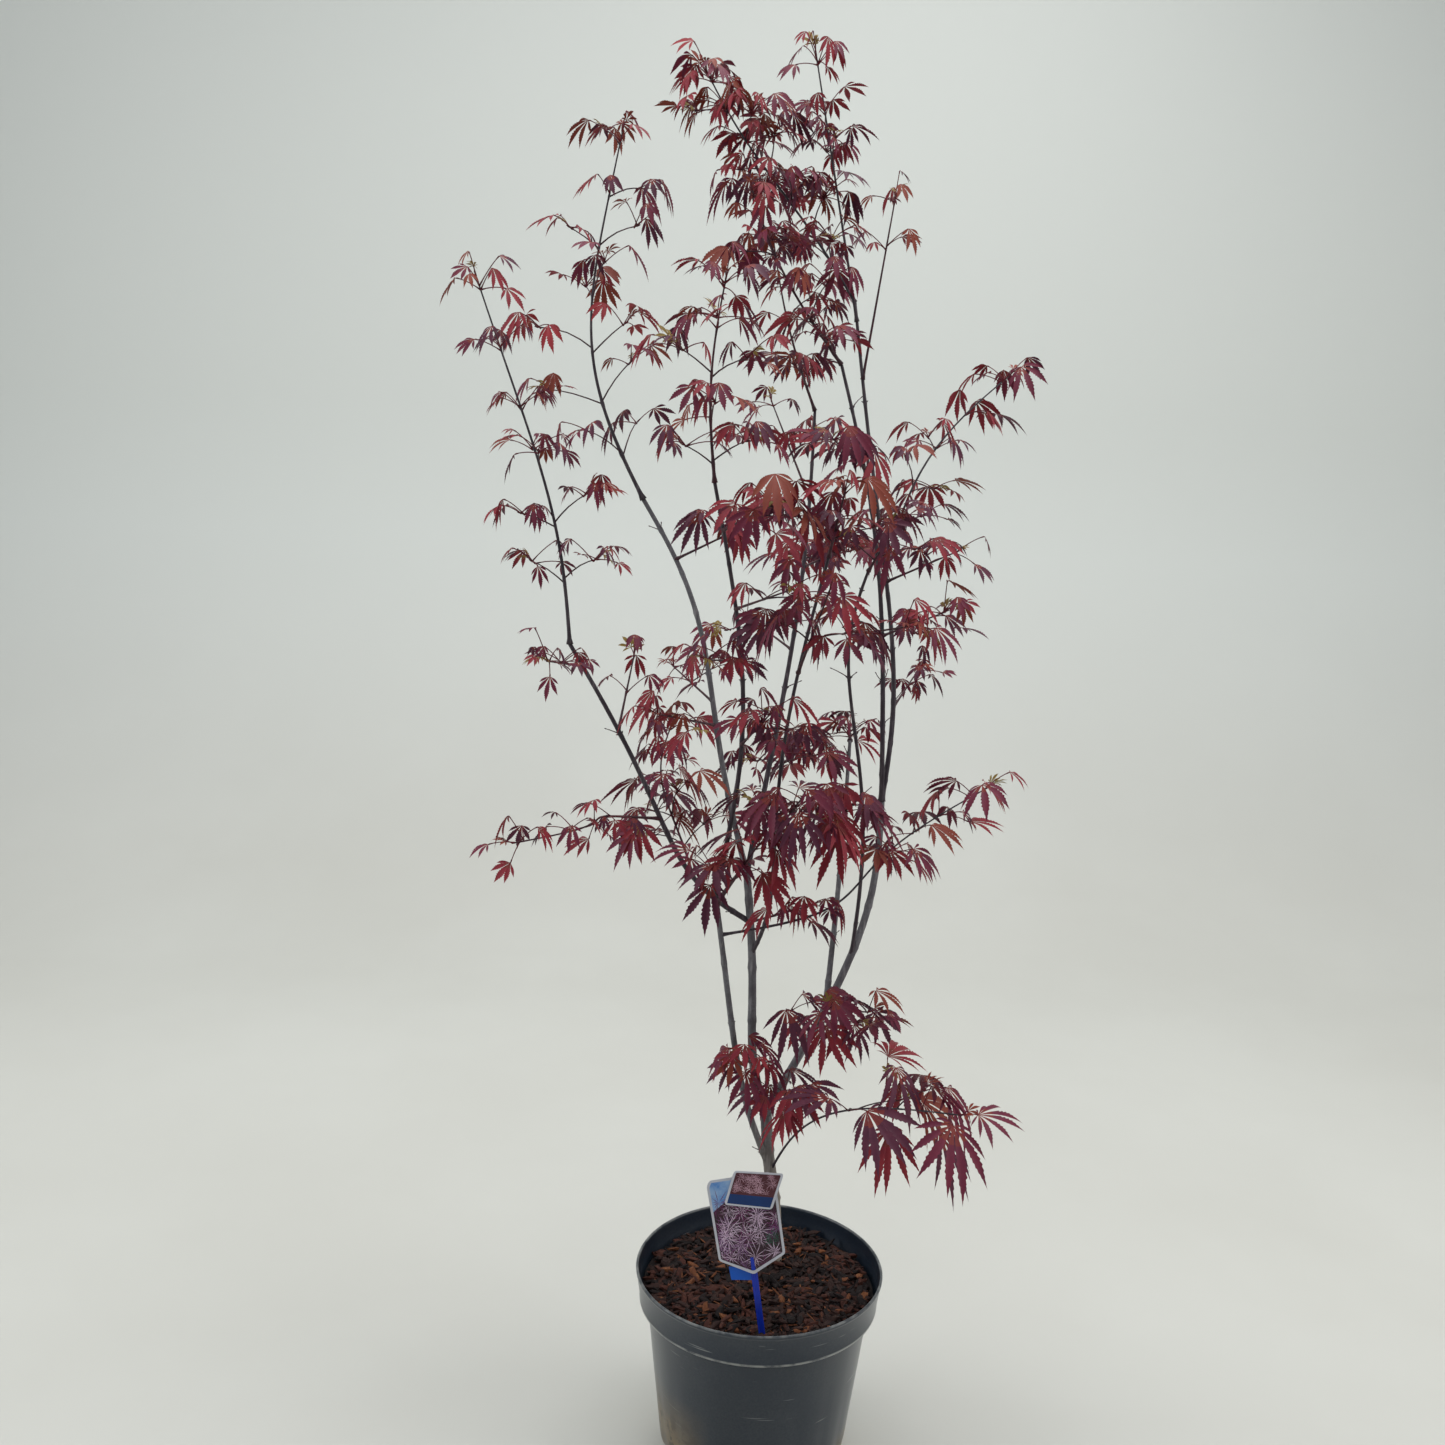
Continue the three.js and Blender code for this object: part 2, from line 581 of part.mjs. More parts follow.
// Materials, after the colours of the real plant
const bark = new THREE.MeshStandardMaterial({ color: 0x6a615c, roughness: 0.85, metalness: 0 });
const youngBark = new THREE.MeshStandardMaterial({ color: 0x4a3a42, roughness: 0.7, metalness: 0 });
const foliage = new THREE.MeshStandardMaterial({ color: 0x6e1a26, roughness: 0.6, metalness: 0 });
const potPlastic = new THREE.MeshStandardMaterial({ color: 0x3c4244, roughness: 0.55, metalness: 0 });
const mulch = new THREE.MeshStandardMaterial({ color: 0x4a2419, roughness: 0.95, metalness: 0 });
const print = new THREE.MeshStandardMaterial({ color: 0xc9b6cf, roughness: 0.4, metalness: 0 });
const bluePlastic = new THREE.MeshStandardMaterial({ color: 0x1f3fae, roughness: 0.4, metalness: 0 });

const plant = new THREE.Group();

function addPiece(name, geometry, material) {
  const piece = new THREE.Mesh(geometry, material.clone());
  piece.name = name;
  plant.add(piece);
}

const pottedParts = [
  ['pot', potGeometry(), potPlastic],
  ['root_ball', compostGeometry(), mulch],
  ['label_stake', stakeGeometry(), bluePlastic],
  ['label_board', boardGeometry(), print],
];
for (const [name, geometry, material] of pottedParts) {
  addPiece(name, geometry, material);
  stand(name, solidFromGeometry(geometry));
}

// Limbs in order: each is cut clear of those before it, and the trunk flat over the root ball
for (const limb of limbs) {
  lines.set(limb.name, lineOf(limb));
  const level = compost.top + seatGap;
  const solid = cutClear(limbTube(limb).trimByPlane([0, 0, 1], level));
  addPiece(limb.name, geometryFrom(solid), limb.radius[0] > 3.3 ? bark : youngBark);
  standWood(limb.name, solid, limbTube(limb, seatGap));
}

// All stems of the masses stand before the first leaf is hung
for (const mass of masses) {
  lines.set(mass.name, lineOf(mass));
  growStem(mass);
}
masses.forEach((mass, i) => {
  growLeaves(mass, growth.firstSeed + i);
});
for (const mass of masses) {
  addPiece(`foliage_${mass.name}`, massGeometry(mass), foliage);
}

export default plant;
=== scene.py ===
import math

import bpy
import numpy as np
from mathutils import Matrix, Vector, noise


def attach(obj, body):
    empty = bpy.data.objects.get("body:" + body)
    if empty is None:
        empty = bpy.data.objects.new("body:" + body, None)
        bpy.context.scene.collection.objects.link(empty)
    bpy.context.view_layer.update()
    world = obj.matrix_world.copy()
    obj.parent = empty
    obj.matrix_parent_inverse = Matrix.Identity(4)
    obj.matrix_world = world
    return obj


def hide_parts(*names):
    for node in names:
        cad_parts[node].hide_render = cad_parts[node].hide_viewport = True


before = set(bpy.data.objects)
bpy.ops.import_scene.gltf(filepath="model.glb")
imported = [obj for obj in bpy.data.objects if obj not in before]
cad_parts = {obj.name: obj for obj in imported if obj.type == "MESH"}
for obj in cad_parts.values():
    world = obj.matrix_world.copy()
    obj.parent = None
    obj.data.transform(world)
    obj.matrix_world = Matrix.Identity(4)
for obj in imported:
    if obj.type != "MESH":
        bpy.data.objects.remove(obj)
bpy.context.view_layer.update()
scene = bpy.context.scene
mm = 0.001
upward = Vector((0, 0, 1))
print("frame loaded:", len(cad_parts), "solids")


def pickFrom(limits, chance):
    return next(name for name, limit in limits if chance < limit)


def drawsFrom(seed):
    # the same seed gives the same draws, as in the part's source
    state = seed & 0xFFFFFFFF

    def draw(low, high):
        nonlocal state
        state = (state * 1664525 + 1013904223) & 0xFFFFFFFF
        return low + (high - low) * state / 4294967296
    return draw


class Pile:
    # points in millimetres and faces, gathered before they become one mesh
    def __init__(self):
        self.points, self.faces = [], []

    def add(self, points, faces):
        start = len(self.points)
        self.points.extend(tuple(p) for p in points)
        self.faces.extend(tuple(start + i for i in face) for face in faces)


def between(ends, share):
    return ends[0] + (ends[1] - ends[0]) * share


def turnAngles(count):
    return [2 * math.pi * k / count for k in range(count)]


def bridgeRings(rings, count, start=0, inward=False):
    # the faces between rings of points that follow one another
    faces = []
    for first in range(start, start + (rings - 1) * count, count):
        for k in range(count):
            a, b = first + k, first + (k + 1) % count
            faces.append((a, a + count, b + count, b) if inward else (a, b, b + count, a + count))
    return faces


def linkedObject(name, data):
    made = bpy.data.objects.new(name, data)
    scene.collection.objects.link(made)
    return made


def makePiece(name, pile, material, replaced, smooth=True):
    mesh = bpy.data.meshes.new(name)
    mesh.from_pydata((np.array(pile.points) * mm).tolist(), [], pile.faces)
    mesh.polygons.foreach_set("use_smooth", [smooth] * len(mesh.polygons))
    mesh.materials.append(material)
    mesh.update()
    piece = linkedObject(name, mesh)
    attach(piece, "root")
    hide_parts(*replaced)


def hexColour(code):
    # a screen colour such as "6a2a30" as the linear values that Blender takes
    channels = [int(code[i:i + 2], 16) / 255 for i in (0, 2, 4)]
    return tuple(c / 12.92 if c <= 0.04045 else ((c + 0.055) / 1.055) ** 2.4 for c in channels)


def newMaterial(name, specular):
    material = bpy.data.materials.new(name)
    material.use_nodes = True
    shader = material.node_tree.nodes["Principled BSDF"]
    shader.inputs["Specular IOR Level"].default_value = specular
    return material, material.node_tree, shader


def setInputs(tree, node, inputs):
    for key, value in inputs.items():
        socket = node.inputs[key]
        if isinstance(value, bpy.types.NodeSocket):
            tree.links.new(value, socket)
        else:
            socket.default_value = (*value[:3], 1) if socket.type == "RGBA" else value


def addNode(tree, kind, inputs, **settings):
    node = tree.nodes.new(kind)
    for key, value in settings.items():
        setattr(node, key, value)
    setInputs(tree, node, inputs)
    return node


def objectPlace(tree):
    return addNode(tree, "ShaderNodeTexCoord", {}).outputs["Object"]


def placeAxes(tree, place):
    return addNode(tree, "ShaderNodeSeparateXYZ", {"Vector": place}).outputs


def noiseNode(tree, place, scale, detail):
    return addNode(tree, "ShaderNodeTexNoise", {"Vector": place, "Scale": scale, "Detail": detail}).outputs[0]


def mathNode(tree, operation, a, b=0.0):
    return addNode(tree, "ShaderNodeMath", {0: a, 1: b}, operation=operation).outputs[0]


def times(tree, a, b):
    return mathNode(tree, "MULTIPLY", a, b)


def largerOf(tree, a, b):
    return mathNode(tree, "MAXIMUM", a, b)


def spanNode(tree, value, low, high, toLow=0.0, toHigh=1.0):
    node = addNode(tree, "ShaderNodeMapRange", {0: value, 1: low, 2: high, 3: toLow, 4: toHigh})
    return node.outputs[0]


def mixColour(tree, factor, a, b):
    return addNode(tree, "ShaderNodeMix", {0: factor, 6: a, 7: b}, data_type="RGBA").outputs[2]


def bumpNode(tree, height, strength, distance):
    bump = addNode(tree, "ShaderNodeBump", {"Height": height, "Strength": strength, "Distance": distance})
    return bump.outputs["Normal"]


def newGroup(name, inputs, outputs):
    group = bpy.data.node_groups.new(name, "ShaderNodeTree")
    for socketName, kind, value in inputs:
        group.interface.new_socket(socketName, in_out="INPUT", socket_type=kind).default_value = value
    for socketName, kind in outputs:
        group.interface.new_socket(socketName, in_out="OUTPUT", socket_type=kind)
    return group, group.nodes.new("NodeGroupInput").outputs, group.nodes.new("NodeGroupOutput").inputs


number, colour = "NodeSocketFloat", "NodeSocketColor"


def makeMottle():
    # soft patches that shift one colour towards another, with finer grain over them
    group, given, result = newGroup(
        "softMottle",
        [("Ground", colour, (0.5, 0.5, 0.5, 1)), ("Patch", colour, (0.3, 0.3, 0.3, 1)),
         ("Scale", number, 20.0), ("Amount", number, 0.5), ("Grain", number, 0.2)],
        [("Colour", colour)])
    place = objectPlace(group)
    large = noiseNode(group, place, given["Scale"], 4.0)
    fine = noiseNode(group, place, times(group, given["Scale"], 9.0), 2.0)
    mask = times(group, spanNode(group, large, 0.36, 0.64), given["Amount"])
    patched = mixColour(group, mask, given["Ground"], given["Patch"])
    grain = times(group, spanNode(group, fine, 0.35, 0.7), given["Grain"])
    group.links.new(mixColour(group, grain, patched, given["Patch"]), result["Colour"])
    return group


def makeScuffs():
    # fine scratches at three angles and a thin film of dust, as masks
    group, given, result = newGroup(
        "scuffs", [("Density", number, 0.5), ("Dust", number, 0.4)],
        [("Scratches", number), ("Dust", number)])
    place = objectPlace(group)
    start = mathNode(group, "SUBTRACT", 0.8, times(group, given["Density"], 0.1))
    masks = []
    for turn, stretch in ((0.9, (14, 14, 150)), (-0.4, (10, 10, 190)), (0.15, (6, 6, 120))):
        turned = addNode(group, "ShaderNodeMapping", {"Vector": place, "Rotation": (turn, turn * 0.8, 0),
                                                      "Scale": stretch})
        masks.append(spanNode(group, noiseNode(group, turned.outputs[0], 1.6, 1.0), start, 0.82))
    scratches = largerOf(group, largerOf(group, masks[0], masks[1]), masks[2])
    dust = times(group, noiseNode(group, place, 420.0, 3.0), noiseNode(group, place, 14.0, 6.0))
    group.links.new(scratches, result["Scratches"])
    group.links.new(times(group, spanNode(group, dust, 0.17, 0.38), given["Dust"]), result["Dust"])
    return group


mottle = makeMottle()
scuffs = makeScuffs()
print("shared effects ready")


def mottled(tree, ground, patch, scale, amount, grain):
    return addNode(tree, "ShaderNodeGroup", {
        "Ground": hexColour(ground), "Patch": hexColour(patch), "Scale": scale, "Amount": amount,
        "Grain": grain}, node_tree=mottle).outputs["Colour"]


def scuffed(tree, density, dust):
    return addNode(tree, "ShaderNodeGroup", {"Density": density, "Dust": dust}, node_tree=scuffs).outputs


def rowsOf(columns, *rows):
    # one dictionary a row, without the columns that a short row lacks
    return [dict(zip(columns, row)) for row in rows]


# Limbs and masses, with the same values as in the part's source. A limb leaves another one at a share
# of its length. "bend" is its bow and sway sideways and its arch upwards.
trunkFoot = (19, 50, 207)
limbRows = rowsOf(
    ("name", "from", "at", "reach", "bend", "radius"),
    ("trunk", None, 0, (-18, -20, 211), (3, 2, 0), (8.6, 6.6)),
    ("stem_grey", "trunk", 0.97, (-35, -21, 296), (-4, -4, -31), (5.6, 4.2)),
    ("stem_right", "trunk", 0.97, (119, 49, 368), (32, -3, 4), (5, 3.6)),
    ("stem_left", "trunk", 0.62, (-77, -78, 361), (-8, -2, -21), (4, 3)),
    ("stem_centre", "stem_left", 1, (-16, -60, 440), (28, 3, 17), (2.8, 1.8)),
    ("bough_left", "stem_grey", 0.85, (-205, -43, 314), (6, -9, -51), (3.2, 2.2)),
    ("bough_mid", "stem_grey", 1, (-130, 50, 407), (14, -8, 18), (3.4, 2.4)),
    ("bough_back", "stem_grey", 1, (59, 140, 512), (14, -1, 4), (3.2, 1.7)),
    ("bough_front", "stem_grey", 0.75, (55, -135, 460), (-10, 9, -70), (2.5, 1.6)),
    ("bough_inner", "stem_right", 0.33, (19, 83, 303), (2, 0, -3), (3.6, 2)),
    ("bough_outer", "stem_right", 1, (-57, 50, 560), (25, 5, -46), (3.2, 1.7)),
    ("bough_near", "stem_right", 1, (-75, -40, 486), (20, -2, -1), (3, 1.7)),
    ("bough_thin", "stem_right", 0.5, (-19, -145, 457), (-7, 12, 48), (2.3, 1.5)),
)
# "leaf" is the length of the solids' leaves, "share" that of the finer leaves against it, and "beside"
# the number of smaller leaves that hang by each.
massRows = rowsOf(
    ("name", "from", "at", "reach", "nodes", "first", "spread", "leaf", "share", "beside", "bend"),
    ("left_top", "bough_left", 1, (-98, -30, 372), 6, 0.18, 50, 47, 0.66, 2, (16, 3, 0)),
    ("left_elbow", "bough_left", 0.95, (-28, -82, 16), 2, 0.6, 22, 38, 0.7, 2),
    ("left_rise", "bough_left", 0.8, (11, 61, 74), 2, 0.5, 28, 43, 0.66, 0),
    ("left_low", "bough_left", 0.55, (-146, -109, -4), 4, 0.3, 26, 48, 0.66, 1, (8, -20, 12)),
    ("left_core", "bough_left", 0.3, (-32, 90, 159), 5, 0.2, 44, 60, 0.88, 2, (-20, 5, 0)),
    ("mid_top", "bough_mid", 1, (-36, 50, 396), 7, 0.12, 70, 53, 0.72, 1, (-46, -6, 0)),
    ("mid_inner", "bough_mid", 0.82, (88, -41, 48), 2, 0.55, 36, 56, 0.8, 2),
    ("mid_fork", "bough_mid", 0.42, (-50, 116, 22), 2, 0.55, 36, 43, 0.66, 1),
    ("mid_low", "bough_mid", 0.36, (-64, -52, 20), 2, 0.35, 42, 50, 0.84, 1),
    ("centre_top", "stem_centre", 1, (4, -20, 194), 5, 0.1, 50, 50, 0.72, 2, (-9, 0, 0)),
    ("centre_mid", "stem_centre", 0.88, (47, -98, 30), 2, 0.55, 40, 57, 0.88, 3),
    ("centre_front", "stem_centre", 0.68, (49, -110, 31), 2, 0.55, 36, 52, 0.68, 1),
    ("centre_left", "stem_centre", 0.55, (-36, -97, 14), 2, 0.45, 36, 47, 0.8, 2),
    ("centre_low", "stem_centre", 0.35, (26, -99, 52), 3, 0.45, 36, 47, 0.82, 2),
    ("centre_base", "stem_left", 0.97, (40, -72, 86), 3, 0.4, 38, 60, 0.98, 3),
    ("trunk_left", "stem_grey", 0.23, (-14, -86, 66), 3, 0.55, 26, 50, 0.9, 2),
    ("trunk_front", "stem_grey", 0.07, (29, -99, 60), 3, 0.5, 30, 50, 0.98, 2),
    ("low_right", "trunk", 0.6, (190, -168, 160), 5, 0.62, 46, 74, 0.99, 0, (-37, 0, 35)),
    ("fork_front", "stem_right", 0.25, (12, -83, 66), 3, 0.4, 42, 59, 1.02, 3),
    ("fork_right", "stem_right", 0.33, (46, -37, 12), 2, 0.55, 26, 52, 0.84, 0),
    ("grey_right", "stem_grey", 0.85, (64, -73, 46), 3, 0.4, 30, 47, 0.92, 1),
    ("back_top", "bough_back", 1, (-54, 0, 176), 3, 0.15, 44, 52, 0.8, 2, (-6, 0, 0)),
    ("back_high", "bough_back", 0.8, (-46, 100, 112), 2, 0.55, 42, 52, 0.8, 2),
    ("back_mid", "bough_back", 0.65, (63, 129, 19), 3, 0.35, 40, 52, 1, 3),
    ("back_low", "bough_back", 0.47, (-51, 154, 20), 2, 0.55, 42, 47, 0.72, 0),
    ("back_base", "bough_back", 0.2, (50, 148, 10), 3, 0.35, 42, 54, 0.85, 3),
    ("front_top", "bough_front", 1, (9, -50, 66), 3, 0.25, 40, 52, 0.8, 2),
    ("front_mid", "bough_front", 0.82, (21, -104, 96), 2, 0.4, 36, 56, 0.9, 2),
    ("front_low", "bough_front", 0.5, (21, -98, 62), 4, 0.4, 36, 54, 0.95, 2),
    ("thin_top", "bough_thin", 1, (18, -40, 43), 3, 0.3, 42, 52, 0.7, 1),
    ("thin_mid", "bough_thin", 0.78, (44, -103, 23), 2, 0.55, 36, 50, 0.74, 1),
    ("thin_low", "bough_thin", 0.35, (-37, -114, 0), 3, 0.4, 36, 58, 1, 2),
    ("near_top", "bough_near", 1, (-103, -20, 172), 6, 0.06, 48, 52, 0.75, 2, (-14, 0, 3)),
    ("near_mid", "bough_near", 0.78, (-44, -109, 29), 3, 0.35, 38, 52, 0.95, 3),
    ("near_low", "bough_near", 0.4, (59, -64, 36), 2, 0.55, 30, 50, 0.8, 3),
    ("crown", "bough_outer", 1, (-173, -70, 220), 7, 0.15, 64, 51, 0.75, 7, (-8, 4, 7)),
    ("outer_top", "bough_outer", 0.97, (-61, -19, 277), 3, 0.6, 40, 41, 0.78, 3),
    ("outer_high", "bough_outer", 0.88, (28, 26, 202), 2, 0.72, 30, 41, 0.8, 1),
    ("wing", "bough_outer", 0.55, (140, 72, 228), 5, 0.16, 46, 50, 0.88, 2, (-25, 0, 12)),
    ("outer_mid", "bough_outer", 0.53, (74, -36, 40), 2, 0.55, 34, 47, 0.68, 1),
    ("outer_low", "bough_outer", 0.25, (40, 104, 30), 2, 0.55, 30, 47, 0.68, 1),
    ("cross_right", "stem_left", 0.88, (284, 20, 172), 5, 0.62, 32, 50, 0.88, 1, (5, 23, -27)),
    ("inner_top", "bough_inner", 1, (3, 40, 8), 3, 0.3, 38, 47, 0.9, 5),
)
flare = {"ground": 212, "height": 26, "spread": 3.4}   # the trunk widens towards the ground

growth = {
    "stepLength": 55, "stalk": 27, "stalkRise": 0.12, "pairGap": 2, "pairTurn": 90, "firstSeed": 11,
    "last": 0.96,       # place of a mass's last pair of twigs along its stem
    "forward": 0.55, "rise": 0.15,
    "twigFrom": 1.35,   # a shoot longer than this many stalks is a twig, a shorter one is a stalk
    "twigSag": 0.08, "leafFork": 0.7, "youngShare": 0.7,
    "lowest": 216,      # nothing hangs lower than this over the root ball
    "middle": 0.45, "hang": 0.95,   # a leaf's middle and lowest point, as shares of its length
    "limbRoom": 7,      # a leaf's middle stays this far from a limb's bark
    "leafRoom": 0.24,   # two leaves' middles stay this share of a leaf apart
    # smaller leaves beside each leaf, and the share that their middles stay apart
    "finerTurn": (40, 160), "finerRise": (-0.3, 0.9), "finerSize": (0.6, 0.95), "finerRoom": 0.17,
}
limbs = {row["name"]: row for row in limbRows}
twigs = []   # each: root, tip, mass
leaves = []  # each: root, knuckle, flat, outward, across, length, mass, beside


def lineOf(row):
    foot = limbs[row["from"]]["line"](row["at"]) if row["from"] else Vector(trunkFoot)
    reach = Vector(row["reach"])
    bow, sway, arch = row.get("bend", (0, 0, 0))

    def pointAt(t):
        point = foot + reach * t
        point.x += bow * math.sin(math.pi * t) + sway * math.sin(2 * math.pi * t)
        point.z += arch * math.sin(math.pi * t)
        return point
    return pointAt


def lengthOf(line):
    return (line(1) - line(0)).length


def headingAt(line, t):
    return (line(t + 0.01) - line(t - 0.01)).normalized()


def levelAcross(heading, least):
    # the level direction square to a heading, or along X where the heading is nearly upright
    level = Vector((-heading.y, heading.x, 0))
    return level.normalized() if level.length > least else Vector((1, 0, 0))


def chordPoint(line, t):
    steps = max(3, round(lengthOf(line) / growth["stepLength"]))
    i = min(steps - 1, math.floor(t * steps))
    return line(i / steps).lerp(line((i + 1) / steps), t * steps - i)


def nodesOf(mass):
    # the shares of the way from a mass's first pair of twigs to its last, and their places on the stem
    shares = [i / max(1, mass["nodes"] - 1) for i in range(mass["nodes"])]
    return [(share, between((mass["first"], growth["last"]), share)) for share in shares]


def hangLeaf(mass, draw, root, heading, size, beside):
    stalkLength = growth["stalk"] * draw(0.75, 1.25)
    droop = math.radians(draw(10, 64))
    turn = math.radians(draw(-35, 35))
    length = size * draw(0.82, 1.12)
    flat = Vector((heading.x, heading.y, 0))
    if flat.length < 0.2:
        flat = Vector((1, 0, 0))
    flat = Matrix.Rotation(turn, 3, "Z") @ flat.normalized()
    knuckle = root + heading * stalkLength
    knuckle.z += stalkLength * growth["stalkRise"]
    outward = flat * math.cos(droop) - upward * math.sin(droop)
    leaves.append({"root": root, "knuckle": knuckle, "flat": flat, "outward": outward, "length": length,
                   "across": upward.cross(flat).normalized(), "mass": mass, "beside": beside})


def growTwig(mass, draw, root, heading, length):
    tip = root + heading * length
    tip.z -= length * growth["twigSag"]
    direction = (tip - root).normalized()
    twigs.append({"root": root, "tip": tip, "mass": mass["name"]})
    level = levelAcross(direction, 0)
    for side in (-1, 1):
        leafHeading = direction * growth["leafFork"] + level * growth["leafFork"] * side
        leafHeading.z += draw(-0.15, 0.3)
        leafRoot = tip - direction * growth["pairGap"] * (1.5 + side)
        hangLeaf(mass, draw, leafRoot, leafHeading.normalized(), mass["leaf"], mass["beside"])


def growMass(mass, seed):
    draw = drawsFrom(seed)
    line = mass["line"]
    for i, (share, place) in enumerate(nodesOf(mass)):
        root = chordPoint(line, place)
        along = headingAt(line, place)
        level = levelAcross(along, 0.2)
        turn = math.radians(growth["pairTurn"] * i + draw(-25, 25))
        for side in (-1, 1):
            heading = Matrix.Rotation(turn, 3, along) @ level * side + along * growth["forward"]
            heading.z += growth["rise"]
            heading.normalize()
            length = mass["spread"] * (1 - 0.5 * share) * draw(0.75, 1.2)
            sideRoot = root + along * growth["pairGap"] * side
            if length > growth["stalk"] * growth["twigFrom"]:
                growTwig(mass, draw, sideRoot, heading, length)
            else:
                hangLeaf(mass, draw, sideRoot, heading, mass["leaf"], mass["beside"])
    youngSize = mass["leaf"] * growth["youngShare"]
    hangLeaf(mass, draw, chordPoint(line, 0.99), headingAt(line, 0.98), youngSize, 0)


def alongLeaf(leaf, share):
    return leaf["knuckle"] + leaf["outward"] * leaf["length"] * share


def keepClear(leafRoom):
    # leaves that would sink to the mulch, lie in a limb or lie in another leaf are left out
    places, widths = [], []
    for row in limbRows:
        count = int(Vector(row["reach"]).length / 8)
        for i in range(count + 1):
            places.append(row["line"](i / count))
            widths.append(between(row["radius"], i / count))
    places, widths = np.array(places), np.array(widths)
    kept, middles, sizes = [], [], []
    for leaf in leaves:
        middle = alongLeaf(leaf, growth["middle"])
        lowest = leaf["knuckle"].z - leaf["length"] * growth["hang"]
        room = np.linalg.norm(places - np.array(middle), axis=1) - widths
        isClear = lowest > growth["lowest"] and room.min() > growth["limbRoom"]
        if isClear and middles:
            gaps = np.linalg.norm(np.array(middles) - np.array(middle), axis=1)
            isClear = (gaps > leafRoom * (np.array(sizes) + leaf["length"])).all()
        if isClear:
            kept.append(leaf)
            middles.append(middle)
            sizes.append(leaf["length"])
    return kept


def growFiner():
    # the photo's fuller sprays: beside each leaf hang smaller ones, within the crown's reach
    draws = {mass["name"]: drawsFrom(5001 + index) for index, mass in enumerate(massRows)}
    tips = [alongLeaf(leaf, 1) for leaf in leaves]
    low = [min(tip[i] for tip in tips) for i in range(3)]
    high = [max(tip[i] for tip in tips) for i in range(3)]
    for leaf in leaves:
        leaf["length"] *= leaf["mass"]["share"]
    for leaf in list(leaves):
        draw = draws[leaf["mass"]["name"]]
        for _ in range(leaf["beside"]):
            side = 1 if draw(0, 1) < 0.5 else -1
            turned = Matrix.Rotation(math.radians(draw(*growth["finerTurn"])) * side, 3, "Z") @ leaf["flat"]
            heading = (turned + upward * draw(*growth["finerRise"])).normalized()
            size = leaf["length"] * draw(*growth["finerSize"])
            hangLeaf(leaf["mass"], draw, leaf["root"], heading, size, 0)
            tip = alongLeaf(leaves[-1], 1)
            if not all(low[i] <= tip[i] <= high[i] for i in range(3)):
                leaves.pop()


for row in limbRows + massRows:
    row["line"] = lineOf(row)
for index, mass in enumerate(massRows):
    growMass(mass, growth["firstSeed"] + index)
leaves = keepClear(growth["leafRoom"])
coarse = len(leaves)
growFiner()
leaves = keepClear(growth["finerRoom"])
print("grown:", len(twigs), "twigs,", coarse, "leaves and", len(leaves) - coarse, "finer ones")


wood = {
    "sides": 14, "trunkSides": 18, "step": 4.0,
    "firstNode": (20, 50), "nodeGap": (44, 74),     # rings of old bud scars
    "budFrom": 0.85, "spurFrom": 1.35,      # drawn sizes from which a bud and a bare twig stand there
    "swelling": 0.17, "swellingLength": 3.4,
    "relief": 0.06,         # depth of the bark's relief as a share of the radius
    "collar": 0.5, "collarLength": 5,       # a limb is wider where it leaves its parent
    "massFoot": 1.6, "massTip": 0.75, "massStep": 6, "massCollar": 0.8, "massCollarLength": 4,
    "massSwelling": 0.35, "massSwellingLength": 2.2,
    "leaderFrom": 0.96,     # a mass that leaves its limb past this share carries it on
    "youngFrom": 230,       # a mass's stem this long goes with the young wood
    "twig": (0.9, 0.55), "stalk": (0.62, 0.48),     # radius at the foot and at the tip
    "twigEnd": 1.5, "stalkKnob": 1.7, "stalkArch": 0.12,
}
oldNames = ("trunk", "stem_grey", "stem_right", "stem_left", "bough_mid", "bough_inner")
oldWood, youngWood, fineWood, stalks = Pile(), Pile(), Pile(), Pile()


def sidesAlong(points):
    # two directions square to the path at each point, turning as little as they can
    last = len(points) - 1
    headings = [(points[min(i + 1, last)] - points[max(i - 1, 0)]).normalized() for i in range(last + 1)]
    side = headings[0].cross(Vector((0.12, 1, 0.31))).normalized()
    directions = []
    for heading in headings:
        side = (side - heading * side.dot(heading)).normalized()
        directions.append((side, heading.cross(side)))
    return directions


def addTube(pile, points, radii, sides, reliefAt=None):
    ring = [(math.cos(angle), math.sin(angle)) for angle in turnAngles(sides)]
    made = []
    for (side, front), point, radius in zip(sidesAlong(points), points, radii):
        for across, ahead in ring:
            out = side * across + front * ahead
            made.append(point + out * (radius * (1 + reliefAt(point, out) if reliefAt else 1)))
    last = (len(points) - 1) * sides
    faces = bridgeRings(len(points), sides)
    faces += [tuple(reversed(range(sides))), tuple(range(last, last + sides))]
    pile.add(made, faces)


def barkRelief(point, out):
    # long shallow ridges that run up the stem, and small knobs
    place = Vector((out.x * 2.1, out.y * 2.1, point.z * 0.035))
    ridges = noise.noise(place + Vector((point.x, point.y, 0)) * 0.02)
    knobs = noise.noise(point * 0.16 + out * 1.3)
    return wood["relief"] * (ridges + 0.7 * knobs)


def limbRadius(row, t):
    plain = between(row["radius"], t)
    if row["name"] != "trunk":
        return plain
    rise = max(0, trunkFoot[2] + t * row["reach"][2] - flare["ground"]) / flare["height"]
    return plain + flare["spread"] * math.exp(-3 * rise)


def addBud(pile, root, heading, length, radius):
    # a blunt scaly bud or the stub of a lost twig
    stages = ((0, 0.8), (0.25, 1), (0.6, 0.85), (0.85, 0.5), (1, 0.12))
    addTube(pile, [root + heading * length * s for s, _ in stages], [radius * r for _, r in stages], 6)


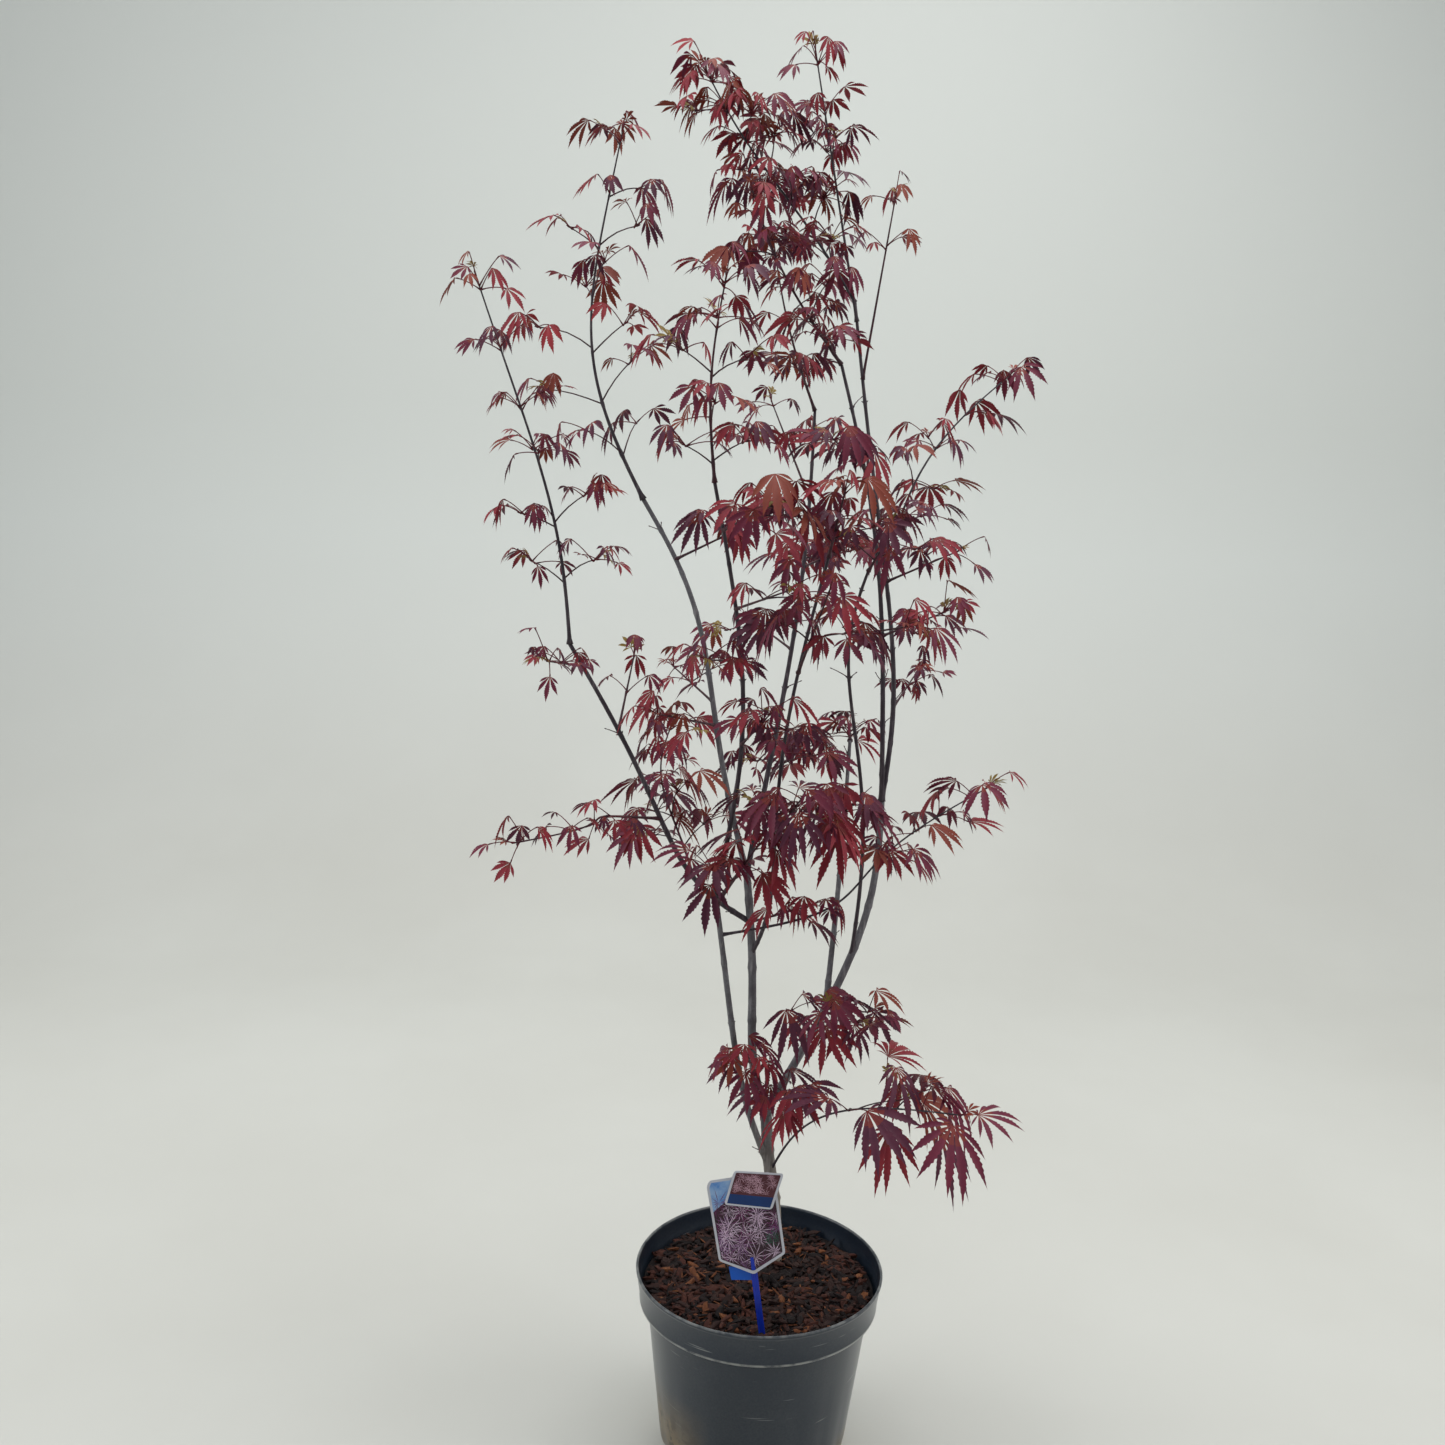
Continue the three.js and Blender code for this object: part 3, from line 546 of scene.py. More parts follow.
def addSpur(root, heading, length, draw):
    # a thin bare twig that lost its leaves, a little crooked
    bend = Vector((draw(-0.3, 0.3), draw(-0.3, 0.3), draw(-0.1, 0.3)))
    points = [root + heading * length * s + bend * length * s * s for s in (0, 0.35, 0.7, 1)]
    addTube(fineWood, points, [0.75, 0.6, 0.5, 0.4], 5)
    addBud(fineWood, points[-1] - heading * 0.5, (heading + bend).normalized(), 2.4, 0.7)


def growLimb(row, seed):
    draw = drawsFrom(seed)
    pile = oldWood if row["name"] in oldNames else youngWood
    line, length = row["line"], lengthOf(row["line"])
    count = max(8, int(length / wood["step"]))
    nodes, place = [], draw(*wood["firstNode"])
    while place < length - 8:
        nodes.append(place)
        place += draw(*wood["nodeGap"])
    isTrunk = row["name"] == "trunk"
    points, radii = [], []
    for i in range(count + 1):
        t = i / count
        nearest = min(abs(t * length - n) for n in nodes) / wood["swellingLength"]
        radius = limbRadius(row, t) * (1 + wood["swelling"] * math.exp(-nearest ** 2))
        if not isTrunk:
            radius *= 1 + wood["collar"] * math.exp(-t * length / wood["collarLength"])
        points.append(line(t))
        radii.append(radius)
    addTube(pile, points, radii, wood["trunkSides" if isTrunk else "sides"], barkRelief)
    for n in nodes:
        addNodeBuds(pile, row, n / length, draw)


def addNodeBuds(pile, row, t, draw):
    # at a ring of bud scars, a pair of buds and now and then a bare twig
    line = row["line"]
    around = draw(0, 2 * math.pi)
    heading = headingAt(line, t)
    level = heading.cross(Vector((0, 1, 0.2))).normalized()
    for side in (0, math.pi):
        out = Matrix.Rotation(around + side, 3, heading) @ level
        size = draw(0.5, 1.6)
        if size > wood["budFrom"]:
            addBud(pile, line(t) + out * limbRadius(row, t) * 0.8,
                   (out + heading * 0.9).normalized(), 2.6 * size, 0.75)
        if size > wood["spurFrom"]:
            addSpur(line(t), (out + heading * draw(0.7, 1.4)).normalized(), draw(7, 18), draw)


def growStem(mass):
    # the stem of a mass, a little thicker at its foot and at each pair of twigs
    line, length = mass["line"], lengthOf(mass["line"])
    isLeader = mass["at"] > wood["leaderFrom"]
    foot = limbRadius(limbs[mass["from"]], mass["at"]) if isLeader else wood["massFoot"]
    count = max(6, int(length / wood["massStep"]))
    points, radii = [], []
    for i in range(count + 1):
        t = i / count
        nearest = min(abs(t - place) for _, place in nodesOf(mass)) * length / wood["massSwellingLength"]
        points.append(line(t))
        radii.append(between((foot, wood["massTip"]), t ** 0.8)
                     * (1 + wood["massSwelling"] * math.exp(-nearest ** 2)
                        + wood["massCollar"] * math.exp(-t * length / wood["massCollarLength"])))
    addTube(fineWood if length < wood["youngFrom"] else youngWood, points, radii, 8, barkRelief)


def addTwig(root, tip, draw):
    bend = Vector((draw(-0.06, 0.06), draw(-0.06, 0.06), draw(0.02, 0.1))) * (tip - root).length
    steps = (0, 0.25, 0.5, 0.75, 1)
    points = [root.lerp(tip, s) + bend * math.sin(math.pi * s) for s in steps]
    radii = [between(wood["twig"], s) for s in steps]
    radii[-1] *= wood["twigEnd"]
    addTube(fineWood, points, radii, 6)
    addBud(fineWood, tip, (tip - root).normalized(), draw(2, 3.6), 0.8)


for index, row in enumerate(limbRows):
    growLimb(row, 400 + index)
for mass in massRows:
    growStem(mass)
draw = drawsFrom(3001)
for twig in twigs:
    addTwig(twig["root"], twig["tip"], draw)
print("wood:", len(oldWood.faces) + len(youngWood.faces) + len(fineWood.faces), "faces")


foliage = {
    # a lobe's angle from the middle one in degrees, and its length as a share of the leaf's
    "nine": ((100, 0.3), (73, 0.56), (48, 0.8), (24, 0.95), (0, 1)),
    "seven": ((90, 0.4), (59, 0.7), (29, 0.92), (0, 1)),
    "five": ((66, 0.5), (33, 0.84), (0, 1)),
    "nineFrom": 52, "fiveUpTo": 40,   # leaf lengths
    "reach": 0.95,              # of a lobe, against the leaf's length
    "closing": (0.76, 1.16),    # a leaf's lobes fold together like a half shut umbrella
    "halfWidth": {"nine": 0.072, "seven": 0.09, "five": 0.104},  # of a lobe, as a share of its length
    "smooth": (0, 0.1, 0.2, 0.3, 0.39),
    "teeth": 7, "teethSpan": (0.45, 0.92),
    "toothReach": 1.13, "toothNotch": 0.82, "toothStep": 0.022,
    "fold": 0.42, "lift": 0.16, "droop": (0.03, 0.34), "sideDroop": (0, 0.24),
    "roll": (-42, 42),          # degrees that a blade is turned about its middle lobe
    "pitch": (-20, 22),         # and about its width, up and down
    "youngLength": (11, 24), "youngChance": 0.55,
    "heart": 3,                 # the browner heart of a dark leaf ends at this station of its lobes
    "sprayHeight": 40, "sprayLean": 0.22,   # leaves of one spray lean towards the same tints
    # Red here is the painted glow of light shining through backlit leaves.
    "limits": (("Red", 0.01), ("Bronze", 0.23), ("Crimson", 0.52), ("Wine", 0.86), ("Dusky", 9)),
}
# The Red tint is painted light: a bright red that stands in for the glow of light shining through backlit
# leaves.
leafTints = {  # ground and patch colour of each tint
    "Wine": ("76293d", "62243a"), "Crimson": ("932c35", "7c2735"), "Dusky": ("602a3d", "4d2236"),
    "Red": ("a02d33", "8c2932"), "Bronze": ("894131", "7d362d"), "Olive": ("8f7d3c", "7f5c34"),
    "Heart": ("823630", "722d30"),
}
leafPiles = {kind: Pile() for kind in leafTints}
darkPiles = [leafPiles[kind] for kind in ("Wine", "Crimson", "Dusky")]
sprayLeans = {}


def lobeWidth(s):
    # narrow at the base, broadest past the middle, drawn out to a long point
    width = math.sin(math.pi * (0.06 + 0.94 * s) ** 1.4) ** 1.1
    return width * (1 - 0.45 * max(0, (s - 0.7) / 0.3))


def lobeStations():
    made = [(s, lobeWidth(s)) for s in foliage["smooth"]]
    for i in range(foliage["teeth"]):
        tooth = between(foliage["teethSpan"], i / (foliage["teeth"] - 1))
        notch = tooth + foliage["toothStep"]
        made += [(tooth, lobeWidth(tooth) * foliage["toothReach"]),
                 (notch, lobeWidth(notch) * foliage["toothNotch"])]
    return made


stations = lobeStations()


def curveAt(start, middle, end, s):
    return start * (1 - s) ** 2 + middle * 2 * s * (1 - s) + end * s * s


def addLobe(pile, knuckle, aim, leafUp, reach, half, drop, curl):
    middle = knuckle + (aim + leafUp * foliage["lift"]) * reach * 0.5
    tip = knuckle + (aim * 0.95 + leafUp.cross(aim) * curl) * reach
    tip.z -= drop * reach
    points = []
    for s, width in stations:
        centre = curveAt(knuckle, middle, tip, s)
        along = ((middle - knuckle) * (1 - s) + (tip - middle) * s).normalized()
        side = leafUp.cross(along).normalized() * width * half * reach
        edge = along.cross(side) * foliage["fold"]
        points += [centre - side + edge, centre, centre + side + edge]
    points.append(tip)
    faces = []
    for i in range(len(stations) - 1):
        right, mid, left = 3 * i, 3 * i + 1, 3 * i + 2
        faces += [(right, right + 3, mid + 3, mid), (mid, mid + 3, left + 3, left)]
    last = len(points) - 1
    faces += [(last - 3, last, last - 2), (last - 2, last, last - 1)]
    if pile in darkPiles:
        # the lobe's base goes to the browner pieces, the rest keeps its row of points there
        heart, first = foliage["heart"], 3 * foliage["heart"]
        leafPiles["Heart"].add(points[:first + 3], faces[:2 * heart])
        points, faces = points[first:], [tuple(i - first for i in face) for face in faces[2 * heart:]]
    pile.add(points, faces)


def addLeaf(pile, leaf, draw):
    outward = Matrix.Rotation(math.radians(draw(*foliage["pitch"])), 3, leaf["across"]) @ leaf["outward"]
    across = Matrix.Rotation(math.radians(draw(*foliage["roll"])), 3, outward) @ leaf["across"]
    length = leaf["length"]
    leafUp = outward.cross(across).normalized()
    kind = "nine" if length > foliage["nineFrom"] else "five" if length < foliage["fiveUpTo"] else "seven"
    half = foliage["halfWidth"][kind]
    closing, droop, sideDroop = (draw(*foliage[key]) for key in ("closing", "droop", "sideDroop"))
    for degrees, share in foliage[kind]:
        for side in ((-1, 1) if degrees else (1,)):
            angle = math.radians((degrees * side + draw(-4, 4)) * closing)
            aim = outward * math.cos(angle) + across * math.sin(angle)
            reach = length * foliage["reach"] * share * draw(0.9, 1.08)
            drop = droop + sideDroop * abs(math.sin(angle)) * draw(0.7, 1.3)
            addLobe(pile, leaf["knuckle"], aim, leafUp, reach, half, drop, draw(-0.1, 0.1))


def addStalk(leaf):
    root, knuckle = leaf["root"], leaf["knuckle"]
    middle = root.lerp(knuckle, 0.55) + upward * (knuckle - root).length * wood["stalkArch"]
    steps = (0, 0.2, 0.4, 0.6, 0.8, 0.95, 1)
    points = [curveAt(root, middle, knuckle, s) for s in steps]
    points[-1] = points[-1] + leaf["outward"] * 0.5
    radii = [between(wood["stalk"], s) for s in steps]
    radii[0] *= wood["stalkKnob"]
    radii[-2] *= wood["stalkKnob"]
    addTube(stalks, points, radii, 5)


def pickKind(leaf, draw):
    spray = (leaf["mass"]["name"], int(leaf["root"].z / foliage["sprayHeight"]))
    if spray not in sprayLeans:
        sprayLeans[spray] = draw(-foliage["sprayLean"], foliage["sprayLean"])
    return pickFrom(foliage["limits"], draw(0, 1) + sprayLeans[spray])


def addYoungPair(tip, heading, draw):
    # the newest leaves at a twig's end, still small and half folded
    level = levelAcross(heading, 0.1)
    kind = "Olive" if draw(0, 1) < 0.5 else "Bronze"
    for side in (-1, 1):
        way = (heading * 0.9 + level * side * draw(0.2, 0.9) + upward * draw(0.1, 0.7)).normalized()
        length = draw(*foliage["youngLength"])
        flat = Vector((way.x, way.y, 0)).normalized()
        young = {"root": tip, "knuckle": tip + way * length * 0.45, "length": length,
                 "outward": (way + upward * draw(-0.6, 0.1)).normalized(),
                 "across": upward.cross(flat).normalized()}
        addStalk(young)
        addLeaf(leafPiles[kind], young, draw)


leafDraws = {mass["name"]: drawsFrom(7001 + index) for index, mass in enumerate(massRows)}
for leaf in leaves:
    draw = leafDraws[leaf["mass"]["name"]]
    kind = pickKind(leaf, draw)
    addStalk(leaf)
    addLeaf(leafPiles[kind], leaf, draw)
for twig in twigs:
    draw = leafDraws[twig["mass"]]
    if draw(0, 1) < foliage["youngChance"]:
        addYoungPair(twig["tip"], (twig["tip"] - twig["root"]).normalized(), draw)
for mass in massRows:
    line = mass["line"]
    addYoungPair(line(1), headingAt(line, 0.98), leafDraws[mass["name"]])
print("foliage:", sum(len(pile.faces) for pile in leafPiles.values()), "faces")


def barkMaterial(name, ground, patch, pale, streakScale, roughness, foot=None):
    material, tree, shader = newMaterial(name, 0.3)
    place = objectPlace(tree)
    drawn = addNode(tree, "ShaderNodeMapping", {"Vector": place, "Scale": (1, 1, 0.12)})
    streaks = noiseNode(tree, drawn.outputs[0], streakScale, 5.0)
    streaked = mixColour(tree, spanNode(tree, streaks, 0.52, 0.72, 0.0, 0.55),
                         mottled(tree, ground, patch, 38.0, 0.8, 0.5), hexColour(pale))
    if foot:
        # paler low on the trunk: partly the old bark's own paler tone, partly painted light where the trunk's
        # foot is lit
        low = spanNode(tree, placeAxes(tree, place)["Z"], 0.42, 0.25, 0.0, 0.75)
        streaked = mixColour(tree, low, streaked, hexColour(foot))
    setInputs(tree, shader, {"Base Color": streaked, "Roughness": roughness,
                             "Normal": bumpNode(tree, streaks, 0.5, 0.0006)})
    return material


def leafMaterial(name, ground, patch, roughness=0.52):
    material, tree, shader = newMaterial(name, 0.24)
    grain = noiseNode(tree, objectPlace(tree), 700.0, 2.0)
    setInputs(tree, shader, {
        "Base Color": mottled(tree, ground, patch, 60.0, 0.7, 0.3),
        "Roughness": spanNode(tree, grain, 0.3, 0.7, roughness - 0.08, roughness + 0.12),
        "Normal": bumpNode(tree, grain, 0.35, 0.0004)})
    return material


massNodes = ["foliage_" + row["name"] for row in massRows]
# the last colour is the paler foot of the trunk, partly old bark and partly painted light on its lit foot
oldBark = barkMaterial("oldBark", "757478", "524f53", "a19e9f", 260.0, 0.7, "a89c8b")
youngBark = barkMaterial("youngBark", "453c42", "332c34", "70686c", 300.0, 0.5)
twigSkin = barkMaterial("twigSkin", "4b262e", "35212a", "6b4a4e", 340.0, 0.5)
stalkSkin = leafMaterial("stalkSkin", "6c1f2a", "4c1a24", 0.4)
makePiece("woodOld", oldWood, oldBark, oldNames)
makePiece("woodYoung", youngWood, youngBark,
          [row["name"] for row in limbRows if row["name"] not in oldNames] + massNodes)
makePiece("woodTwigs", fineWood, twigSkin, massNodes)
makePiece("leafStalks", stalks, stalkSkin, massNodes)
for kind, tint in leafTints.items():
    makePiece("leaves" + kind, leafPiles[kind], leafMaterial("leaf" + kind, *tint), massNodes)
print("plant pieces made")


pot = {
    "height": 236, "segments": 144,
    "pleats": 20, "pleatDepth": 2.6, "pleatTop": 44,
    "wobble": 0.9,          # how far the soft wall is out of round
    # outside going up: radius and height
    "outside": ((96, 0), (98.4, 1.4), (99.3, 5), (107.4, 20), (109.3, 23), (110.5, 30), (119.6, 110),
                (128.6, 190), (129.4, 193), (132.6, 194.6), (137.2, 195.2), (138.4, 196.6), (138.6, 199.2),
                (138.2, 201.4), (140.3, 216), (141.8, 229.5), (142.6, 231.4), (143.3, 232.6), (143.5, 234.6),
                (142.8, 235.8), (141.6, 236)),
    # inside going down
    "inside": ((140.6, 235.4), (140.2, 233.4), (139.6, 229), (135.6, 198), (126.6, 191), (105, 22), (95, 3),
               (0, 3)),
}


def potRadius(radius, height, angle):
    wobble = pot["wobble"] * math.sin(2 * angle + 0.7) + 0.5 * pot["wobble"] * math.sin(3 * angle + 2.1)
    made = radius + wobble * min(1, height / pot["height"])
    if height < pot["pleatTop"]:
        wave = max(0, math.sin(pot["pleats"] * angle)) ** 0.6
        made -= pot["pleatDepth"] * wave * (1 - height / pot["pleatTop"])
    return made


def turnPot():
    pile = Pile()
    profile = ((0, 0), *pot["outside"], *pot["inside"])
    count = pot["segments"]
    points = []
    for radius, height in profile:
        for angle in turnAngles(count):
            made = potRadius(radius, height, angle) if radius else 0
            points.append((made * math.cos(angle), made * math.sin(angle), height))
    pile.add(points, bridgeRings(len(profile), count))
    return pile


def potMaterial():
    material, tree, shader = newMaterial("potPlastic", 0.2)
    place = objectPlace(tree)
    axes = placeAxes(tree, place)
    marks = scuffed(tree, 0.5, 0.15)
    ragged = noiseNode(tree, place, 70.0, 6.0)
    soft = noiseNode(tree, place, 16.0, 5.0)
    # pale worn lines along the collar's lower ridge and the rim
    off = mathNode(tree, "ABSOLUTE", mathNode(tree, "SUBTRACT", axes["Z"], 0.1972))
    ridge = times(tree, spanNode(tree, off, 0.0007, 0.0022, 1.0, 0.0), spanNode(tree, ragged, 0.34, 0.54))
    lip = times(tree, spanNode(tree, axes["Z"], 0.2335, 0.2352), spanNode(tree, ragged, 0.4, 0.62, 0.1, 0.6))
    # brown splashes of soil low on the left and at the foot on the right, with dark crumbs in them
    left = times(tree, spanNode(tree, axes["X"], -0.05, -0.095), spanNode(tree, axes["Z"], 0.12, 0.05))
    right = times(tree, spanNode(tree, axes["X"], 0.088, 0.104), spanNode(tree, axes["Z"], 0.062, 0.035))
    soil = times(tree, largerOf(tree, left, right), spanNode(tree, soft, 0.36, 0.62, 0.25, 1.0))
    crumbs = times(tree, spanNode(tree, ragged, 0.53, 0.58), soil)
    base = mottled(tree, "182330", "222c39", 9.0, 0.5, 0.12)
    for mask, amount, code in ((marks["Dust"], 0.5, "7d7f79"), (marks["Scratches"], 0.55, "9a9c98"),
                               (largerOf(tree, ridge, lip), 0.7, "a9aaa5"), (soil, 0.85, "8a7757"),
                               (crumbs, 0.8, "2c241c")):
        base = mixColour(tree, times(tree, mask, amount), base, hexColour(code))
    rough = mathNode(tree, "ADD", 0.3, times(tree, largerOf(tree, marks["Dust"], soil), 0.35))
    relief = mathNode(tree, "SUBTRACT", ragged, marks["Scratches"])
    setInputs(tree, shader, {
        "Base Color": base, "Roughness": rough, "Normal": bumpNode(tree, relief, 0.12, 0.0006),
        "Coat Weight": 1.0, "Coat Roughness": 0.4, "Coat IOR": 1.36})
    return material


makePiece("potShell", turnPot(), potMaterial(), ["pot"])
print("pot made")


mulch = {
    "radius": 134.5, "top": 212.5, "skirt": 196,
    "heap": 3.5, "ripple": 1.6, "sunk": 1.8,
    "level": 112,           # the mulch sinks outside this radius
    "chips": 2300, "crumbs": 900, "slivers": 90,
    "chipLength": (9, 27), "crumbLength": (3, 7),
    "sliverLength": (14, 34), "sliverWidth": (1, 2.2), "sliverThickness": 0.9,
    "tints": {"mulchDark": ("1f1413", "140d0d", "2a1d1b"), "mulchBrown": ("3a231e", "271714", "4c3128"),
              "mulchRed": ("4f2a20", "391e18", "63382a"), "mulchAmber": ("7d4a2c", "613823", "9a6842")},
    "limits": (("mulchDark", 0.34), ("mulchBrown", 0.72), ("mulchRed", 0.93), ("mulchAmber", 1)),
}
mulchPiles = {name: Pile() for name in mulch["tints"]}


def mulchHeight(x, y):
    # small heaps, a little lower by the wall
    sunk = mulch["sunk"] * max(0, (math.hypot(x, y) - mulch["level"]) / 22) ** 2
    heap = noise.noise(Vector((x * 0.021, y * 0.021, 0.3)))
    ripple = noise.noise(Vector((x * 0.07, y * 0.07, 4)))
    return mulch["top"] + mulch["heap"] * heap + mulch["ripple"] * ripple - sunk


def addBed(pile):
    # the rough ground between the chips, with a skirt down inside the wall
    rings, count = 26, 96
    points = [(0, 0, mulchHeight(0, 0))]
    for i in range(1, rings + 1):
        radius = mulch["radius"] * i / rings
        for angle in turnAngles(count):
            x, y = radius * math.cos(angle), radius * math.sin(angle)
            points.append((x, y, mulchHeight(x, y) - 1))
    last = len(points)
    points += [(x * 0.985, y * 0.985, mulch["skirt"]) for x, y, _ in points[-count:]]
    faces = [(0, 1 + k, 1 + (k + 1) % count) for k in range(count)]
    faces += bridgeRings(rings + 1, count, 1, inward=True)
    faces.append(tuple(reversed(range(last, last + count))))
    pile.add(points, faces)


def addChip(pile, draw, length, width, thickness, x, y, lift, steep):
    # a splinter of bark: an uneven outline with its top face smaller and shifted
    corners = 5 + int(draw(0, 2.99))
    turn = Matrix.Rotation(draw(0, 2 * math.pi), 3, "Z")
    tilt = Matrix.Rotation(draw(-steep, steep), 3, "X") @ Matrix.Rotation(draw(-steep, steep), 3, "Y")
    middle = Vector((x, y, mulchHeight(x, y) + lift))
    outline = []
    for angle in turnAngles(corners):
        angle += draw(-0.25, 0.25)
        corner = Vector((math.cos(angle) * length / 2, math.sin(angle) * width / 2, 0))
        outline.append(corner * draw(0.75, 1.1))
    points = []
    for height, scale in ((-0.5, 0.85), (0.15, 1), (0.5, 0.7)):
        shift = Vector((draw(-0.06, 0.06) * length, draw(-0.06, 0.06) * width, height * thickness))
        for corner in outline:
            jitter = Vector((0, 0, draw(-0.2, 0.2) * thickness))
            points.append(middle + turn @ (tilt @ (corner * scale + shift + jitter)))
    faces = [tuple(reversed(range(corners))), tuple(range(2 * corners, 3 * corners))]
    pile.add(points, faces + bridgeRings(3, corners))


def scatterMulch():
    draw = drawsFrom(77)
    addBed(mulchPiles["mulchDark"])
    for i in range(mulch["chips"] + mulch["crumbs"] + mulch["slivers"]):
        isCrumb = i >= mulch["chips"]
        isSliver = i >= mulch["chips"] + mulch["crumbs"]
        radius = (mulch["radius"] - 8) * math.sqrt(draw(0, 1))
        angle = draw(0, 2 * math.pi)
        x, y = radius * math.cos(angle), radius * math.sin(angle)
        name = pickFrom(mulch["limits"], draw(0, 1))
        length = draw(*(mulch["crumbLength"] if isCrumb else mulch["chipLength"]))
        if isSliver:
            addChip(mulchPiles["mulchAmber"], draw, draw(*mulch["sliverLength"]), draw(*mulch["sliverWidth"]),
                    mulch["sliverThickness"], x * 0.85, y * 0.85, draw(2, 4.5), 0.25)
        else:
            addChip(mulchPiles[name], draw, length, length * draw(0.2, 0.46), length * draw(0.1, 0.22), x, y,
                    draw(-1.5, 4), 0.5)


scatterMulch()
for name, tint in mulch["tints"].items():
    skin = barkMaterial(name, *tint, 180.0, 0.8)
    makePiece(name, mulchPiles[name], skin, ["root_ball"], smooth=False)
print("mulch:", sum(len(pile.faces) for pile in mulchPiles.values()), "faces")


label = {
    "middle": (-18.8, -89.2, 335.9), "turn": 11, "lean": 9, "thickness": 0.8,
    # corners in the board's own plane, right and up from its middle
    "board": ((-0.8, -55), (36.8, -37.4), (38.2, 46.2), (32.5, 54.6), (-33.5, 55), (-37.4, 49.2),
              (-36.6, -34.4)),
    "picture": ((-0.8, -51.2), (34, -35.6), (35.4, 45.3), (31, 51.8), (-31.9, 52.2), (-34.6, 47.2),
                (-34, -33.1)),
    "sky": ((-34.6, 47.2), (-31.9, 52.2), (6, 52), (-2, 41), (-14, 33), (-34.4, 20)),
    "card": ((-21.5, 26.9), (29.7, 13.3), (48.7, 50.7), (-4.9, 62.3)),
    "cardRise": 1.4, "cardThickness": 0.6, "cardInner": 0.9,
    "bandTop": 0.31, "pinkFrom": 0.36,      # heights on the card, as shares of it
    "bursts": 64, "leafBursts": 9, "cardBursts": 34,
    "tag": ((-26.6, -58.5), (1, -63), (3.9, -48.2), (-27.2, -43.8)),
    "stakeFoot": (3, -107.5, 212.8), "stakeTop": (-25.7, -80.7, 382.7), "stakeWidth": 7,
    "stakeClip": ((-2.6, -50), (1.8, -50), (1.4, -36), (-2.2, -36)),
}
labelTints = {
    "Board": ("c9c9cf", "b4b6be"), "Picture": ("2a1b24", "42242f"), "Sky": ("4d82c4", "a9c3dc"),
    "Lilac": ("8f6492", "6f4c78"), "Pink": ("dcc6d8", "c4a2be"), "Plum": ("7b2c66", "5c2450"),
    "Green": ("2c7458", "25594a"), "Card": ("cfcfd6", "bdbfc8"), "CardPicture": ("5a2c33", "43212a"),
    "CardBand": ("0f376f", "0c2a5c"), "CardPink": ("cba3b0", "a8788a"),
}
labelPiles = {name: Pile() for name in labelTints}
stakePile, tagPile = Pile(), Pile()


def boardPoint(x, y, z):
    # right, up and forward from the board's middle
    turned = Matrix.Rotation(math.radians(label["turn"]), 3, "Z") @ Vector((x, y, z))
    return Matrix.Rotation(math.radians(90 - label["lean"]), 3, "X") @ turned + Vector(label["middle"])


def roundCorners(corners, radius):
    made = []
    for i, corner in enumerate(corners):
        here = Vector(corner)
        before = (Vector(corners[i - 1]) - here).normalized() * radius
        after = (Vector(corners[(i + 1) % len(corners)]) - here).normalized() * radius
        made += [here + before * (1 - s) ** 2 + after * s ** 2 for s in (0, 0.2, 0.4, 0.6, 0.8, 1)]
    return made


def addPlate(pile, corners, low, high):
    # a flat plate between two heights off the board's plane
    count = len(corners)
    points = [boardPoint(x, y, z) for z in (low, high) for x, y in corners]
    faces = [tuple(reversed(range(count))), tuple(range(count, 2 * count))]
    pile.add(points, faces + bridgeRings(2, count))


def isInside(x, y, corners):
    return all((endX - startX) * (y - startY) > (endY - startY) * (x - startX)
               for (startX, startY), (endX, endY) in zip(corners, corners[1:] + corners[:1]))


def addBurst(pile, draw, x, y, reach, height, corners, rays, width):
    # a spiky star of narrow rays, printed as a raised film
    start = draw(0, 6.28)
    for angle in turnAngles(rays):
        angle += start + draw(-0.2, 0.2)
        length = reach * draw(0.6, 1.1)
        across, ahead = math.cos(angle), math.sin(angle)
        while length > 1 and not isInside(x + length * across, y + length * ahead, corners):
            length *= 0.8
        here, along = Vector((x, y)), Vector((across, ahead))
        side = Vector((-along.y, along.x)) * reach * width
        middle = here + along * length * 0.45
        pile.add([boardPoint(*point, height) for point in (here, middle - side, here + along * length,
                                                           middle + side)], [(0, 1, 2, 3)])


def addPrints():
    film, draw = label["thickness"], drawsFrom(501)
    addPlate(labelPiles["Board"], roundCorners(label["board"], 3), 0, film)
    addPlate(labelPiles["Picture"], roundCorners(label["picture"], 2), film, film + 0.05)
    addPlate(labelPiles["Sky"], label["sky"], film, film + 0.09)
    for i in range(label["bursts"]):
        x, y = draw(-34, 34), draw(-50, 30)
        pile = labelPiles[("Plum", "Pink", "Lilac", "Pink")[i % 4]]
        if isInside(x, y, label["picture"]):
            addBurst(pile, draw, x, y, draw(9, 19), film + 0.11 + 0.002 * i, label["picture"], 11, 0.02)
    for i in range(label["leafBursts"]):
        addBurst(labelPiles["Green"], draw, draw(20, 31), draw(-24, -12), draw(4, 8), film + 0.3,
                 label["picture"], 6, 0.032)
    card = label["card"]
    centre = Vector((sum(x for x, _ in card) / 4, sum(y for _, y in card) / 4))
    inner = [centre + (Vector(corner) - centre) * label["cardInner"] for corner in card]
    lowLeft, lowRight, highRight, highLeft = inner
    top = film + label["cardRise"]
    addPlate(labelPiles["Card"], roundCorners(card, 4), top - label["cardThickness"], top)
    addPlate(labelPiles["CardPicture"], roundCorners(inner, 1.5), top, top + 0.05)
    share = label["bandTop"]
    band = [lowLeft, lowRight, lowRight.lerp(highRight, share), lowLeft.lerp(highLeft, share)]
    addPlate(labelPiles["CardBand"], band, top + 0.01, top + 0.1)
    share = label["pinkFrom"]
    upper = [lowLeft.lerp(highLeft, share), lowRight.lerp(highRight, share), highRight, highLeft]
    for i in range(label["cardBursts"]):
        s, t = draw(0.05, 0.95), draw(share, 0.95)
        spot = lowLeft.lerp(lowRight, s).lerp(highLeft.lerp(highRight, s), t)
        addBurst(labelPiles["CardPink"], draw, *spot, draw(4, 9), top + 0.07 + 0.001 * i, upper, 9, 0.03)
    addPlate(stakePile, label["stakeClip"], film, film + 0.9)
    addPlate(tagPile, roundCorners(label["tag"], 1), -3.0, -2.3)


